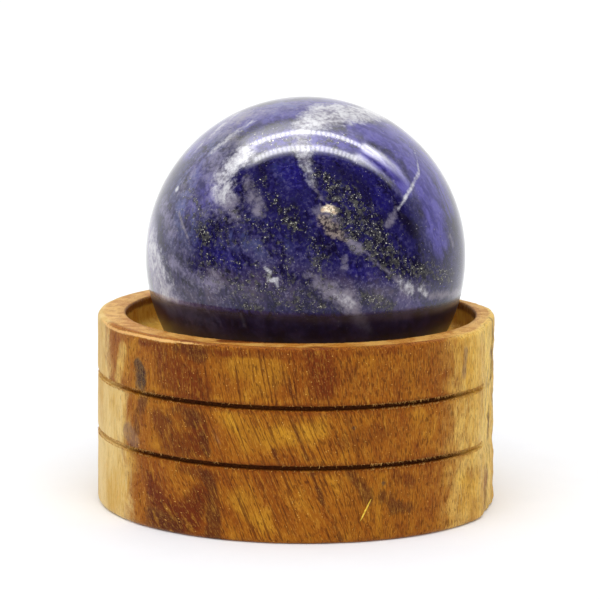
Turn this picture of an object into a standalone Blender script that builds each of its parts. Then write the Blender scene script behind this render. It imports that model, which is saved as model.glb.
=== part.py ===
"""A polished stone sphere resting in a low turned wooden stand.

Metres, +Z up. The origin is under the stand, on the axis that the stand was turned on.
-Y is the front and +X the right-hand side, where the natural face of the branch was left on.
"""

import math

import bmesh
import bpy

# The sphere.
SPHERE_RADIUS = 0.025
SPHERE_OFFSET_X = 0.00085

# The round recess that holds it.
RECESS_GAP = 0.0024
RECESS_DEPTH = 0.0045
RECESS_OFFSET = (0.00015, 0.00015)
RECESS_FOOT_FILLET = 0.0012
RECESS_LIP_CHAMFER = 0.0003
SEAT_CLEARANCE = 0.0003
FLOOR_THICKNESS = 0.0133

# The turned outside of the stand, from the floor up.
RIM_WIDTH = 0.0042
BOTTOM_TIER = 0.01110
MIDDLE_TIER = 0.00820
TOP_TIER = 0.00875
GROOVE_WIDTH = 0.00090
GROOVE_DEPTH = 0.00090
GROOVE_DRAFT = 0.00015
TOP_EDGE_RADIUS = 0.0007
BOTTOM_EDGE_RADIUS = 0.0008

# The natural face, lower than the turned one. Angles run from the front towards the right.
NATURAL_LIP_DEPTH = 0.0013
NATURAL_SWELL_DEPTH = 0.00105
NATURAL_HOLLOW_DEPTH = 0.0026
NATURAL_FLARE = 0.0004
NATURAL_START = 58.0
NATURAL_LIP = 74.0
NATURAL_SWELL = 96.0
NATURAL_HOLLOW = 121.0
NATURAL_END = 152.0

# How finely the round shapes are faceted.
STAND_SEGMENTS = 96
SPHERE_SEGMENTS = 64
SEAT_SEGMENTS = 48
EDGE_STEPS = 3
FILLET_STEPS = 4
CUTTER_OVERRUN = 0.002
MERGE_DISTANCE = 1e-7

# What follows from those sizes.
RECESS_RADIUS = SPHERE_RADIUS + RECESS_GAP
STAND_RADIUS = RECESS_RADIUS + RIM_WIDTH
LOWER_GROOVE = BOTTOM_TIER + GROOVE_WIDTH / 2
UPPER_GROOVE = BOTTOM_TIER + GROOVE_WIDTH + MIDDLE_TIER + GROOVE_WIDTH / 2
STAND_HEIGHT = BOTTOM_TIER + MIDDLE_TIER + TOP_TIER + 2 * GROOVE_WIDTH
SPHERE_CENTRE = (SPHERE_OFFSET_X, 0.0, FLOOR_THICKNESS + SEAT_CLEARANCE + SPHERE_RADIUS)


def clear_scene():
    for thing in list(bpy.data.objects):
        bpy.data.objects.remove(thing, do_unlink=True)


def principled(name, colour, roughness, metallic=0.0):
    material = bpy.data.materials.new(name)
    material.use_nodes = True
    shader = material.node_tree.nodes["Principled BSDF"]
    shader.inputs["Base Color"].default_value = (*colour, 1.0)
    shader.inputs["Roughness"].default_value = roughness
    shader.inputs["Metallic"].default_value = metallic
    return material


def add_object(name, bm, material=None):
    """A smooth-shaded object made from a bmesh, with its hard edges kept sharp."""
    bmesh.ops.recalc_face_normals(bm, faces=bm.faces)
    mesh = bpy.data.meshes.new(name)
    bm.to_mesh(mesh)
    bm.free()
    mesh.shade_smooth()
    mesh.set_sharp_from_angle(angle=math.radians(35))
    if material:
        mesh.materials.append(material)
    thing = bpy.data.objects.new(name, mesh)
    bpy.context.collection.objects.link(thing)
    return thing


def turned(profile, segments):
    """A solid of revolution about Z, from an outline of (radius, height) points between two on the axis."""
    bm = bmesh.new()
    points = [bm.verts.new((radius, 0.0, height)) for radius, height in profile]
    edges = [bm.edges.new(pair) for pair in zip(points, points[1:])]
    bmesh.ops.spin(
        bm,
        geom=points + edges,
        cent=(0, 0, 0),
        axis=(0, 0, 1),
        angle=2 * math.pi,
        steps=segments,
        use_merge=True,
    )
    bmesh.ops.remove_doubles(bm, verts=bm.verts, dist=MERGE_DISTANCE)
    return bm


def arc(centre, radius, start, end, steps):
    """Points (radius, height) along an arc, with its angles in degrees from straight outwards."""
    angles = [math.radians(start + (end - start) * i / steps) for i in range(steps + 1)]
    return [(centre[0] + radius * math.cos(a), centre[1] + radius * math.sin(a)) for a in angles]


def groove_outline(height):
    """One lathe groove, from its lower lip to its upper one, with walls that close in a little."""
    half = GROOVE_WIDTH / 2
    floor = STAND_RADIUS - GROOVE_DEPTH
    return [
        (STAND_RADIUS, height - half),
        (floor, height - half + GROOVE_DRAFT),
        (floor, height + half - GROOVE_DRAFT),
        (STAND_RADIUS, height + half),
    ]


def stand_outline():
    """The turned outside of the stand, up from the middle of its underside to the middle of its top."""
    bottom = (STAND_RADIUS - BOTTOM_EDGE_RADIUS, BOTTOM_EDGE_RADIUS)
    top = (STAND_RADIUS - TOP_EDGE_RADIUS, STAND_HEIGHT - TOP_EDGE_RADIUS)
    return [
        (0.0, 0.0),
        *arc(bottom, BOTTOM_EDGE_RADIUS, -90, 0, EDGE_STEPS),
        *groove_outline(LOWER_GROOVE),
        *groove_outline(UPPER_GROOVE),
        *arc(top, TOP_EDGE_RADIUS, 0, 90, EDGE_STEPS),
        (0.0, STAND_HEIGHT),
    ]


def eased(start, end, share):
    """A value between start and end that leaves one and meets the other level."""
    return start + (end - start) * (1 - math.cos(math.pi * share)) / 2


def natural_depth(azimuth):
    """How far the branch's own face lies inside the turned one at an angle in degrees."""
    stations = (
        (NATURAL_START, 0.0),
        (NATURAL_LIP, NATURAL_LIP_DEPTH),
        (NATURAL_SWELL, NATURAL_SWELL_DEPTH),
        (NATURAL_HOLLOW, NATURAL_HOLLOW_DEPTH),
        (NATURAL_END, 0.0),
    )
    for (angle, depth), (next_angle, next_depth) in zip(stations, stations[1:]):
        if angle <= azimuth <= next_angle:
            return eased(depth, next_depth, (azimuth - angle) / (next_angle - angle))
    return None


def trim_to_branch(bm):
    """Pulls in what stands outside the branch, which flares at its foot. The grooves run out there."""
    for vertex in bm.verts:
        x, y, z = vertex.co
        depth = natural_depth(math.degrees(math.atan2(x, -y)))
        if depth is None:
            continue
        flare = min(depth, NATURAL_FLARE * max(0.0, 1 - z / BOTTOM_TIER))
        reach = STAND_RADIUS - depth + flare
        radius = math.hypot(x, y)
        if radius > reach:
            vertex.co.x *= reach / radius
            vertex.co.y *= reach / radius


def cutter(name, bm):
    tool = add_object(name, bm)
    tool.hide_render = True
    tool.display_type = "WIRE"
    return tool


def recess_cutter():
    """The round recess, with a chamfered lip and a filleted foot, running on above the rim."""
    foot = STAND_HEIGHT - RECESS_DEPTH
    fillet = (RECESS_RADIUS - RECESS_FOOT_FILLET, foot + RECESS_FOOT_FILLET)
    top = STAND_HEIGHT + CUTTER_OVERRUN
    flared = RECESS_RADIUS + RECESS_LIP_CHAMFER
    outline = [
        (0.0, foot),
        *arc(fillet, RECESS_FOOT_FILLET, -90, 0, FILLET_STEPS),
        (RECESS_RADIUS, STAND_HEIGHT - RECESS_LIP_CHAMFER),
        (flared, STAND_HEIGHT),
        (flared, top),
        (0.0, top),
    ]
    tool = cutter("recess_cutter", turned(outline, STAND_SEGMENTS))
    tool.location = (*RECESS_OFFSET, 0.0)
    return tool


def seat_cutter():
    """The hollow seat that the sphere rests in, on the sphere's own centre."""
    bm = bmesh.new()
    bmesh.ops.create_uvsphere(
        bm,
        u_segments=SEAT_SEGMENTS,
        v_segments=SEAT_SEGMENTS // 2,
        radius=SPHERE_RADIUS + SEAT_CLEARANCE,
    )
    tool = cutter("seat_cutter", bm)
    tool.location = SPHERE_CENTRE
    return tool


def cut(thing, tool):
    modifier = thing.modifiers.new(tool.name, "BOOLEAN")
    modifier.operation = "DIFFERENCE"
    modifier.solver = "EXACT"
    modifier.object = tool


def make_stand():
    wood = principled("turned_wood", colour=(0.42, 0.19, 0.045), roughness=0.55)
    bm = turned(stand_outline(), STAND_SEGMENTS)
    trim_to_branch(bm)
    stand = add_object("wooden_stand", bm, wood)
    cut(stand, recess_cutter())
    cut(stand, seat_cutter())
    return stand


def make_sphere():
    stone = principled("lapis_stone", colour=(0.025, 0.028, 0.16), roughness=0.08)
    bm = bmesh.new()
    bmesh.ops.create_uvsphere(
        bm,
        u_segments=SPHERE_SEGMENTS,
        v_segments=SPHERE_SEGMENTS // 2,
        radius=SPHERE_RADIUS,
    )
    sphere = add_object("lapis_sphere", bm, stone)
    sphere.location = SPHERE_CENTRE
    return sphere


def main():
    clear_scene()
    make_stand()
    make_sphere()


if __name__ == "__main__":
    main()
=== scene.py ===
"""The finishes, fine forms and studio of a polished lapis sphere in its turned wooden stand.

Metres, +Z up, -Y to the front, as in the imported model. Shapes and marks are worked out in
millimetres and scaled once, where a mesh is made. A place in pixels is one of the 600 x 600
photograph, and PhotoCamera carries it onto the surface that it lies on.
"""
import logging
import math
from collections.abc import Sequence
from dataclasses import dataclass, field, replace
from enum import Enum

import bpy
import numpy as np
from mathutils import Matrix, Vector


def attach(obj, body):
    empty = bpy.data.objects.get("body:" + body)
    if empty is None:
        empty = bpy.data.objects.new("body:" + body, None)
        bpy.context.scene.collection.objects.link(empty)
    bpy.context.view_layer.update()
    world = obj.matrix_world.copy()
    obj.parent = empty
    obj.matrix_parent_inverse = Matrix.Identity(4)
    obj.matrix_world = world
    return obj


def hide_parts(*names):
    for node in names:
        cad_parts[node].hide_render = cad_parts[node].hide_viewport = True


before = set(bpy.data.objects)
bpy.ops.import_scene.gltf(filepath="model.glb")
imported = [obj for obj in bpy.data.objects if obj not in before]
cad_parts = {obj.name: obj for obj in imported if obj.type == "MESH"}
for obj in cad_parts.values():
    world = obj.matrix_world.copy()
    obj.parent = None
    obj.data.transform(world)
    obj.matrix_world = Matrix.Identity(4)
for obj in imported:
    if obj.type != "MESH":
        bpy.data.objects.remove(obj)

MM = 0.001
PHOTO_PIXELS = 600
STREAK_WAY = (0.38, 0.1, -0.92)
Colour = tuple[float, float, float, float]
Socket = bpy.types.NodeSocket
log = logging.getLogger("sphere")


def tone(red: int, green: int, blue: int, gain: float = 1.0) -> Colour:
    """Turns a screen colour into the linear one that a shader takes.

    Args:
        red: Screen red, 0 to 255.
        green: Screen green, 0 to 255.
        blue: Screen blue, 0 to 255.
        gain: Factor on the linear colour.

    Returns:
        The linear colour with an alpha of one.
    """
    shares = [value / 255 for value in (red, green, blue)]
    flat = [s / 12.92 if s <= 0.04045 else ((s + 0.055) / 1.055) ** 2.4 for s in shares]
    return (flat[0] * gain, flat[1] * gain, flat[2] * gain, 1.0)


def smooth(level: np.ndarray) -> np.ndarray:
    """Clips a level to 0..1 and eases both ends."""
    held = np.clip(level, 0.0, 1.0)
    return held * held * (3 - 2 * held)


class Inclusion(Enum):
    """What the stone holds beside its plain grainy blue, and where its colour is painted light or shade."""

    CALCITE = "calcite"
    GREY = "grey"
    CREAM = "cream"
    BROWN = "brown"
    LILAC = "lilac"
    ROYAL = "royal"
    # violet stone, and on the top and right a painted sheen where the light falls
    VIOLET_AND_SHEEN = "violet"
    DARK = "dark"
    PYRITE = "pyrite"
    # grey haze in the stone, and along the lower band a painted reflection of the pale floor
    HAZE_AND_REFLECTION = "haze"
    # painted shade and painted reflection of the dark wood on the sphere's ring below the rim
    FOOT_SHADE_AND_REFLECTION = "foot"


class WoodMark(Enum):
    """What the wood shows beside its plain golden heartwood, and where its colour is painted light or
    shade.
    """

    SAPWOOD = "sapwood"
    RUST = "rust"
    PURPLE = "purple"
    KNOT = "knot"
    GOLD = "gold"
    # rubbed edge, and a painted highlight along the rim's outer edge
    WEAR_AND_HIGHLIGHT = "wear"
    LILAC = "lilac"
    STREAK = "streak"
    # burn in the grooves, and painted shade, fading towards the sides
    GROOVE = "groove"
    # painted light: the recess wall and ledge painted paler golden against their shade
    RECESS = "recess"
    RIM = "rim"
    PALE = "pale"
    SCORCH = "scorch"
    PORES = "pores"


class Carrier(Enum):
    """The surface that a place in the photograph lies on."""

    BALL = "ball"
    WALL = "wall"
    RIM = "rim"


@dataclass(frozen=True)
class Trace:
    """A mark followed on the photograph: pixels right and down with a half width in millimetres."""

    name: str
    path: tuple[tuple[float, float, float], ...]
    strength: float = 1.0
    blur: float = 0.8
    carrier: Carrier = Carrier.WALL


@dataclass(frozen=True)
class Sizes:
    """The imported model's own sizes, in millimetres, under the names that its source has."""

    sphere_radius: float = 25.0
    sphere_offset_x: float = 0.85
    sphere_height: float = 38.6
    recess_radius: float = 27.4
    recess_depth: float = 4.5
    recess_offset: float = 0.15
    recess_foot_fillet: float = 1.2
    recess_lip_chamfer: float = 0.3
    seat_radius: float = 25.3
    stand_radius: float = 31.6
    stand_height: float = 29.85
    bottom_tier: float = 11.10
    middle_tier: float = 8.20
    groove_width: float = 0.90
    groove_depth: float = 0.90
    top_edge_radius: float = 0.7
    bottom_edge_radius: float = 0.8
    natural_flare: float = 0.4
    natural_stations: tuple[tuple[float, float], ...] = (
        (58.0, 0.0), (74.0, 1.3), (96.0, 1.05), (121.0, 2.6), (152.0, 0.0))

    @property
    def centre(self) -> np.ndarray:
        """The sphere's centre."""
        return np.array([self.sphere_offset_x, 0.0, self.sphere_height])

    @property
    def grooves(self) -> tuple[float, float]:
        """The heights of the two grooves' lower lips."""
        return (self.bottom_tier, self.bottom_tier + self.groove_width + self.middle_tier)


SIZES = Sizes()


@dataclass(frozen=True)
class PhotoCamera:
    """The photograph's camera: where it stood, its roll and its focal length in pixels."""

    elevation: float = 9.82
    roll: float = 0.009
    distance: float = 545.0
    target: tuple[float, float, float] = (0.03, 0.0, 31.65)
    focal_pixels: float = 3475.0
    sensor: float = 36.0

    def axes(self) -> tuple[np.ndarray, np.ndarray, np.ndarray]:
        """Works out the camera's axes.

        Returns:
            Its right, up and forward directions.
        """
        lift = math.radians(self.elevation)
        forward = np.array([0.0, math.cos(lift), -math.sin(lift)])
        level_up = np.array([0.0, math.sin(lift), math.cos(lift)])
        level_right = np.array([1.0, 0.0, 0.0])
        turn, rise = math.cos(self.roll), math.sin(self.roll)
        right = turn * level_right + rise * level_up
        return right, turn * level_up - rise * level_right, forward

    def place(self) -> np.ndarray:
        """Where the camera stands, in millimetres."""
        return np.array(self.target) - self.distance * self.axes()[2]

    def rays(self, pixels: np.ndarray) -> np.ndarray:
        """The directions that look through pixels.

        Args:
            pixels: Pixels right and down, one pair a row.

        Returns:
            Unit directions away from the camera, one a row.
        """
        right, up, forward = self.axes()
        half = PHOTO_PIXELS / 2
        across = (pixels[:, 0] - half) / self.focal_pixels
        down = (pixels[:, 1] - half) / self.focal_pixels
        away = forward + across[:, None] * right - down[:, None] * up
        return away / np.linalg.norm(away, axis=1, keepdims=True)

    def onto(self, carrier: Carrier, pixels: np.ndarray) -> np.ndarray:
        """Carries pixels onto a surface.

        Args:
            carrier: The surface that the pixels lie on.
            pixels: Pixels right and down, one pair a row.

        Returns:
            Points on the surface, in millimetres. A ray that just misses goes to the nearest edge.
        """
        start = self.place()
        rays = self.rays(pixels)
        if carrier is Carrier.RIM:
            return start + rays * ((SIZES.stand_height - start[2]) / rays[:, 2:3])
        flat = np.array([1.0, 1.0, 0.0 if carrier is Carrier.WALL else 1.0])
        middle = SIZES.centre if carrier is Carrier.BALL else np.zeros(3)
        radius = SIZES.sphere_radius if carrier is Carrier.BALL else SIZES.stand_radius
        offset = (start - middle) * flat
        along = rays * flat
        a = (along * along).sum(1)
        b = (along * offset).sum(1)
        c = offset @ offset - radius * radius
        reach = (-b - np.sqrt(np.maximum(b * b - a * c, 0.0))) / a
        points = start + rays * reach[:, None]
        out = (points - middle) * flat
        out *= radius / np.linalg.norm(out, axis=1, keepdims=True)
        return np.where(flat > 0, middle + out, points)

    def build(self) -> bpy.types.Object:
        """Makes the scene's camera at the photograph's view.

        Returns:
            The camera, which the scene now uses.
        """
        right, up, forward = self.axes()
        data = bpy.data.cameras.new("photo_camera")
        data.sensor_width = self.sensor
        data.lens = self.sensor * self.focal_pixels / PHOTO_PIXELS
        data.clip_start = 10 * MM
        data.clip_end = 20.0
        camera = bpy.data.objects.new("photo_camera", data)
        bpy.context.scene.collection.objects.link(camera)
        turn = Matrix((right, up, -forward)).transposed().to_4x4()
        camera.matrix_world = Matrix.Translation(Vector(self.place() * MM)) @ turn
        bpy.context.scene.camera = camera
        return camera


@dataclass(frozen=True)
class Ripples:
    """Smooth seeded unevenness: a sum of plane waves with a mean of nought and a spread of about one."""

    seed: int
    pitch: tuple[float, float, float]
    count: int = 36

    def at(self, points: np.ndarray) -> np.ndarray:
        """Works out the unevenness at points.

        Args:
            points: Points in millimetres, one a row.

        Returns:
            One value a point.
        """
        rng = np.random.default_rng(self.seed)
        ways = rng.normal(size=(self.count, 3))
        ways /= np.linalg.norm(ways, axis=1, keepdims=True)
        lengths = rng.uniform(0.7, 1.8, self.count)
        waves = 2 * math.pi * ways * lengths[:, None] / np.array(self.pitch)
        phases = rng.uniform(0, 2 * math.pi, self.count)
        total = np.zeros(len(points))
        for wave, phase in zip(waves, phases):
            total += np.cos(points @ wave + phase)
        return total / math.sqrt(self.count / 2)


class Marks:
    """Works out how strongly each mark shows at each vertex of a mesh."""

    step_pixels = 5.0

    def __init__(self, camera: PhotoCamera, points: np.ndarray) -> None:
        """Keeps the camera and the surface points, in millimetres."""
        self.camera = camera
        self.points = points
        self.levels: dict[Enum, np.ndarray] = {}

    def level(self, kind: Enum) -> np.ndarray:
        """The field of one kind of mark, made on first use.

        Args:
            kind: The mark's kind.

        Returns:
            One level a vertex.
        """
        if kind not in self.levels:
            self.levels[kind] = np.zeros(len(self.points))
        return self.levels[kind]

    def stroke(self, kind: Enum, anchors: np.ndarray, widths: np.ndarray,
               strength: float, blur: float) -> None:
        """Raises a field along a chain of points on the surface.

        Args:
            kind: The mark's kind.
            anchors: The chain's points in millimetres, one a row.
            widths: The half width at each point.
            strength: The level inside the mark.
            blur: The width of the mark's soft edge.
        """
        level = self.level(kind)
        if len(anchors) == 1:
            anchors, widths = np.repeat(anchors, 2, 0), np.repeat(widths, 2)
        for start, end, near, far in zip(anchors[:-1], anchors[1:], widths[:-1], widths[1:]):
            way = end - start
            span = float(way @ way)
            middle = (start + end) / 2
            limit = math.sqrt(span) / 2 + max(near, far) + blur
            close = np.flatnonzero(((self.points - middle) ** 2).sum(1) < limit * limit)
            if len(close) == 0:
                continue
            away = self.points[close] - start
            share = np.clip(away @ way / max(span, 1e-9), 0, 1)
            gap = np.linalg.norm(away - share[:, None] * way, axis=1)
            inside = smooth((near + share * (far - near) - gap) / blur + 0.5)
            level[close] = np.maximum(level[close], strength * inside)

    def trace(self, kind: Enum, mark: Trace) -> None:
        """Adds one mark that was followed on the photograph.

        Args:
            kind: The mark's kind.
            mark: Its path, strength, soft edge and carrier.
        """
        log.debug("mark: %s", mark.name)
        path = np.array(mark.path, float)
        steps = [path[:1]]
        for start, end in zip(path[:-1], path[1:]):
            count = max(1, int(np.hypot(*(end - start)[:2]) / self.step_pixels))
            share = np.arange(1, count + 1)[:, None] / count
            steps.append(start + share * (end - start))
        fine = np.vstack(steps)
        anchors = self.camera.onto(mark.carrier, fine[:, :2])
        self.stroke(kind, anchors, fine[:, 2], mark.strength, mark.blur)

    def store(self, mesh: bpy.types.Mesh, kinds: type[Enum]) -> None:
        """Writes every kind's field to a mesh as an attribute named after the kind.

        Args:
            mesh: The mesh whose vertices the fields belong to.
            kinds: The kinds to write, also those that no mark has raised.
        """
        for kind in kinds:
            attribute = mesh.attributes.new(kind.value, "FLOAT", "POINT")
            attribute.data.foreach_set("value", self.level(kind).astype(np.float32))


def make_piece(name: str, points: np.ndarray, faces: Sequence[Sequence[int]],
               sharp: float = 180.0) -> bpy.types.Object:
    """Makes a smooth-shaded mesh object at the origin.

    Args:
        name: The piece's name.
        points: Its vertices in millimetres, one a row.
        faces: The vertex numbers of each face.
        sharp: The angle, in degrees, from which an edge stays sharp.

    Returns:
        The new object, in the scene.
    """
    mesh = bpy.data.meshes.new(name)
    mesh.from_pydata((points * MM).tolist(), [], faces)
    mesh.polygons.foreach_set("use_smooth", np.ones(len(mesh.polygons), bool))
    if sharp < 180.0:
        mesh.set_sharp_from_angle(angle=math.radians(sharp))
    mesh.update()
    piece = bpy.data.objects.new(name, mesh)
    bpy.context.scene.collection.objects.link(piece)
    return piece


class Graph:
    """A shader's nodes, written as plain calls that each return the socket they make."""

    mark_start = 0.22

    def __init__(self, tree: bpy.types.NodeTree) -> None:
        """Empties the tree and keeps it."""
        self.tree = tree
        tree.nodes.clear()

    def add(self, kind: str, inputs: dict[str | int, object] | None = None,
            **settings: object) -> bpy.types.Node:
        """Adds a node.

        Args:
            kind: The node's type without its ShaderNode prefix.
            inputs: Sockets to join, or plain values to set, by input name or number.
            settings: The node's own settings.

        Returns:
            The new node.
        """
        node = self.tree.nodes.new("ShaderNode" + kind)
        for name, value in settings.items():
            setattr(node, name, value)
        for name, value in (inputs or {}).items():
            self.feed(node.inputs[name], value)
        return node

    def feed(self, target: Socket, value: object) -> None:
        """Joins a socket to the target, or sets the target to a plain value.

        Args:
            target: The input to feed.
            value: Another node's output, or a plain value, which also fills a vector.
        """
        if isinstance(value, Socket):
            self.tree.links.new(value, target)
        elif isinstance(target.default_value, float) or isinstance(value, (tuple, list, str)):
            target.default_value = value
        else:
            target.default_value = (value, value, value)

    def maths(self, operation: str, *values: object) -> Socket:
        """A scalar sum of one to three values."""
        return self.add("Math", dict(enumerate(values)), operation=operation).outputs[0]

    def plus(self, *values: object) -> Socket:
        """Adds values up.

        Args:
            values: Two or more sockets or numbers.

        Returns:
            Their sum.
        """
        total = values[0]
        for value in values[1:]:
            total = self.maths("ADD", total, value)
        return total

    def times(self, *values: object) -> Socket:
        """Multiplies values.

        Args:
            values: Two or more sockets or numbers.

        Returns:
            Their product.
        """
        total = values[0]
        for value in values[1:]:
            total = self.maths("MULTIPLY", total, value)
        return total

    def about(self, noise: Socket, amount: float) -> Socket:
        """A noise of 0..1 as a swing of the given width about nought."""
        return self.maths("MULTIPLY_ADD", noise, amount, -amount / 2)

    def step(self, value: object, low: float, high: float, top: float = 1.0,
             bottom: float = 0.0) -> Socket:
        """Eases from bottom to top while the value goes from low to high.

        Args:
            value: The value that is followed.
            low: Where the rise starts. It may lie above high, for a fall.
            high: Where the rise ends.
            top: The result at high and beyond.
            bottom: The result at low and before.

        Returns:
            The eased value.
        """
        inputs = {"Value": value, "From Min": low, "From Max": high, "To Min": bottom, "To Max": top}
        return self.add("MapRange", inputs, interpolation_type="SMOOTHSTEP").outputs["Result"]

    def blend(self, share: object, first: object, second: object) -> Socket:
        """Mixes two colours.

        Args:
            share: How much of the second shows, 0 to 1.
            first: The colour below.
            second: The colour above.

        Returns:
            The mixed colour.
        """
        node = self.add("Mix", data_type="RGBA", clamp_factor=True)
        self.feed(node.inputs[0], share)
        self.feed(node.inputs[6], first)
        self.feed(node.inputs[7], second)
        return node.outputs[2]

    def finish(self, inputs: dict[str, object]) -> None:
        """Makes the material's surface from a principled shader with the given inputs."""
        shader = self.add("BsdfPrincipled", inputs)
        self.feed(self.add("OutputMaterial").inputs[0], shader.outputs[0])

    def mark(self, kind: Enum) -> Socket:
        """The field of one kind of mark, from the mesh."""
        return self.add("Attribute", attribute_name=kind.value).outputs["Fac"]

    def frayed(self, kind: Enum, fray: Socket, low: float, high: float, top: float = 1.0) -> Socket:
        """One kind of mark with its edge broken up by noise, and nothing where there is no mark.

        Args:
            kind: The mark's kind.
            fray: The noise that is added to its field.
            low: The level where the mark starts to show.
            high: The level where it shows in full.
            top: How strongly it shows there.

        Returns:
            How much of the mark shows.
        """
        level = self.mark(kind)
        broken = self.step(self.plus(level, fray), low, high, top)
        return self.times(broken, self.step(level, 0.0, self.mark_start))

    def stained(self, colour: Socket, tint: object, kind: Enum, fray: Socket, low: float, high: float,
                top: float = 1.0) -> Socket:
        """Lays a tint on a colour where one kind of mark shows.

        Args:
            colour: The colour below.
            tint: The mark's own colour.
            kind: The mark's kind.
            fray: The noise that breaks up its edge.
            low: The level where the mark starts to show.
            high: The level where it shows in full.
            top: How strongly it shows there.

        Returns:
            The stained colour.
        """
        return self.blend(self.frayed(kind, fray, low, high, top), colour, tint)

    def scaled(self, place: Socket, factors: tuple[float, float, float]) -> Socket:
        """A place with each axis scaled."""
        return self.add("VectorMath", {0: place, 1: factors}, operation="MULTIPLY").outputs[0]

    def millimetres(self) -> Socket:
        """The piece's own coordinates, in millimetres."""
        return self.scaled(self.add("TexCoord").outputs["Object"], (1 / MM, 1 / MM, 1 / MM))

    def noise(self, place: Socket, scale: float, detail: float = 2.0, roughness: float = 0.5,
              distortion: float = 0.0) -> Socket:
        """Cloudy noise of 0..1, mostly near one half.

        Args:
            place: Where it is read.
            scale: How many cells it has for each unit.
            detail: How many finer layers it has.
            roughness: How strong the finer layers are.
            distortion: How far the place is pushed about first.

        Returns:
            The noise.
        """
        inputs = {"Vector": place, "Scale": scale, "Detail": detail, "Roughness": roughness,
                  "Distortion": distortion}
        return self.add("TexNoise", inputs).outputs[0]

    def warped(self, place: Socket, scale: float, amount: float) -> Socket:
        """Pushes a place about by noise.

        Args:
            place: The place.
            scale: The noise's scale.
            amount: The push between the noise's two ends.

        Returns:
            The new place.
        """
        push = self.add("TexNoise", {"Vector": place, "Scale": scale, "Detail": 2.0}).outputs[1]
        centred = self.add("VectorMath", {0: push, 1: (0.5, 0.5, 0.5)}, operation="SUBTRACT")
        sized = self.add("VectorMath", {0: centred.outputs[0], "Scale": amount}, operation="SCALE")
        return self.add("VectorMath", {0: place, 1: sized.outputs[0]}, operation="ADD").outputs[0]

    def cells(self, place: Socket, scale: float) -> tuple[Socket, Socket, Socket]:
        """Scatters cells.

        Args:
            place: Where they are read.
            scale: How many there are for each unit.

        Returns:
            The distance to the nearest cell's centre and two numbers drawn for that cell.
        """
        node = self.add("TexVoronoi", {"Vector": place, "Scale": scale, "Randomness": 1.0})
        drawn = self.add("SeparateColor", {0: node.outputs["Color"]})
        return node.outputs["Distance"], drawn.outputs[0], drawn.outputs[1]

    def along(self, place: Socket, way: tuple[float, float, float], stretch: float) -> Socket:
        """Turns a place into a frame in which what runs along one direction is stretched.

        Args:
            place: The place.
            way: The direction.
            stretch: How many times longer the pattern gets along it.

        Returns:
            The place in that frame.
        """
        first = Vector(way).normalized()
        second = first.cross(Vector((0.0, 1.0, 0.0))).normalized()
        third = first.cross(second)
        parts = []
        for axis in (first / stretch, second, third):
            node = self.add("VectorMath", {0: place, 1: tuple(axis)}, operation="DOT_PRODUCT")
            parts.append(node.outputs["Value"])
        return self.add("CombineXYZ", dict(enumerate(parts))).outputs[0]


def start_material(name: str) -> tuple[bpy.types.Material, Graph]:
    """Makes a material with an empty shader.

    Args:
        name: The material's name.

    Returns:
        The material and the graph that fills its shader.
    """
    material = bpy.data.materials.new(name)
    material.use_nodes = True
    return material, Graph(material.node_tree)


@dataclass(frozen=True)
class StoneNoises:
    """The stone's place in millimetres and the noises of its finish, from broad to fine."""

    place: Socket
    cloud: Socket
    patch: Socket
    billow: Socket
    grain: Socket
    speck: Socket


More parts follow.
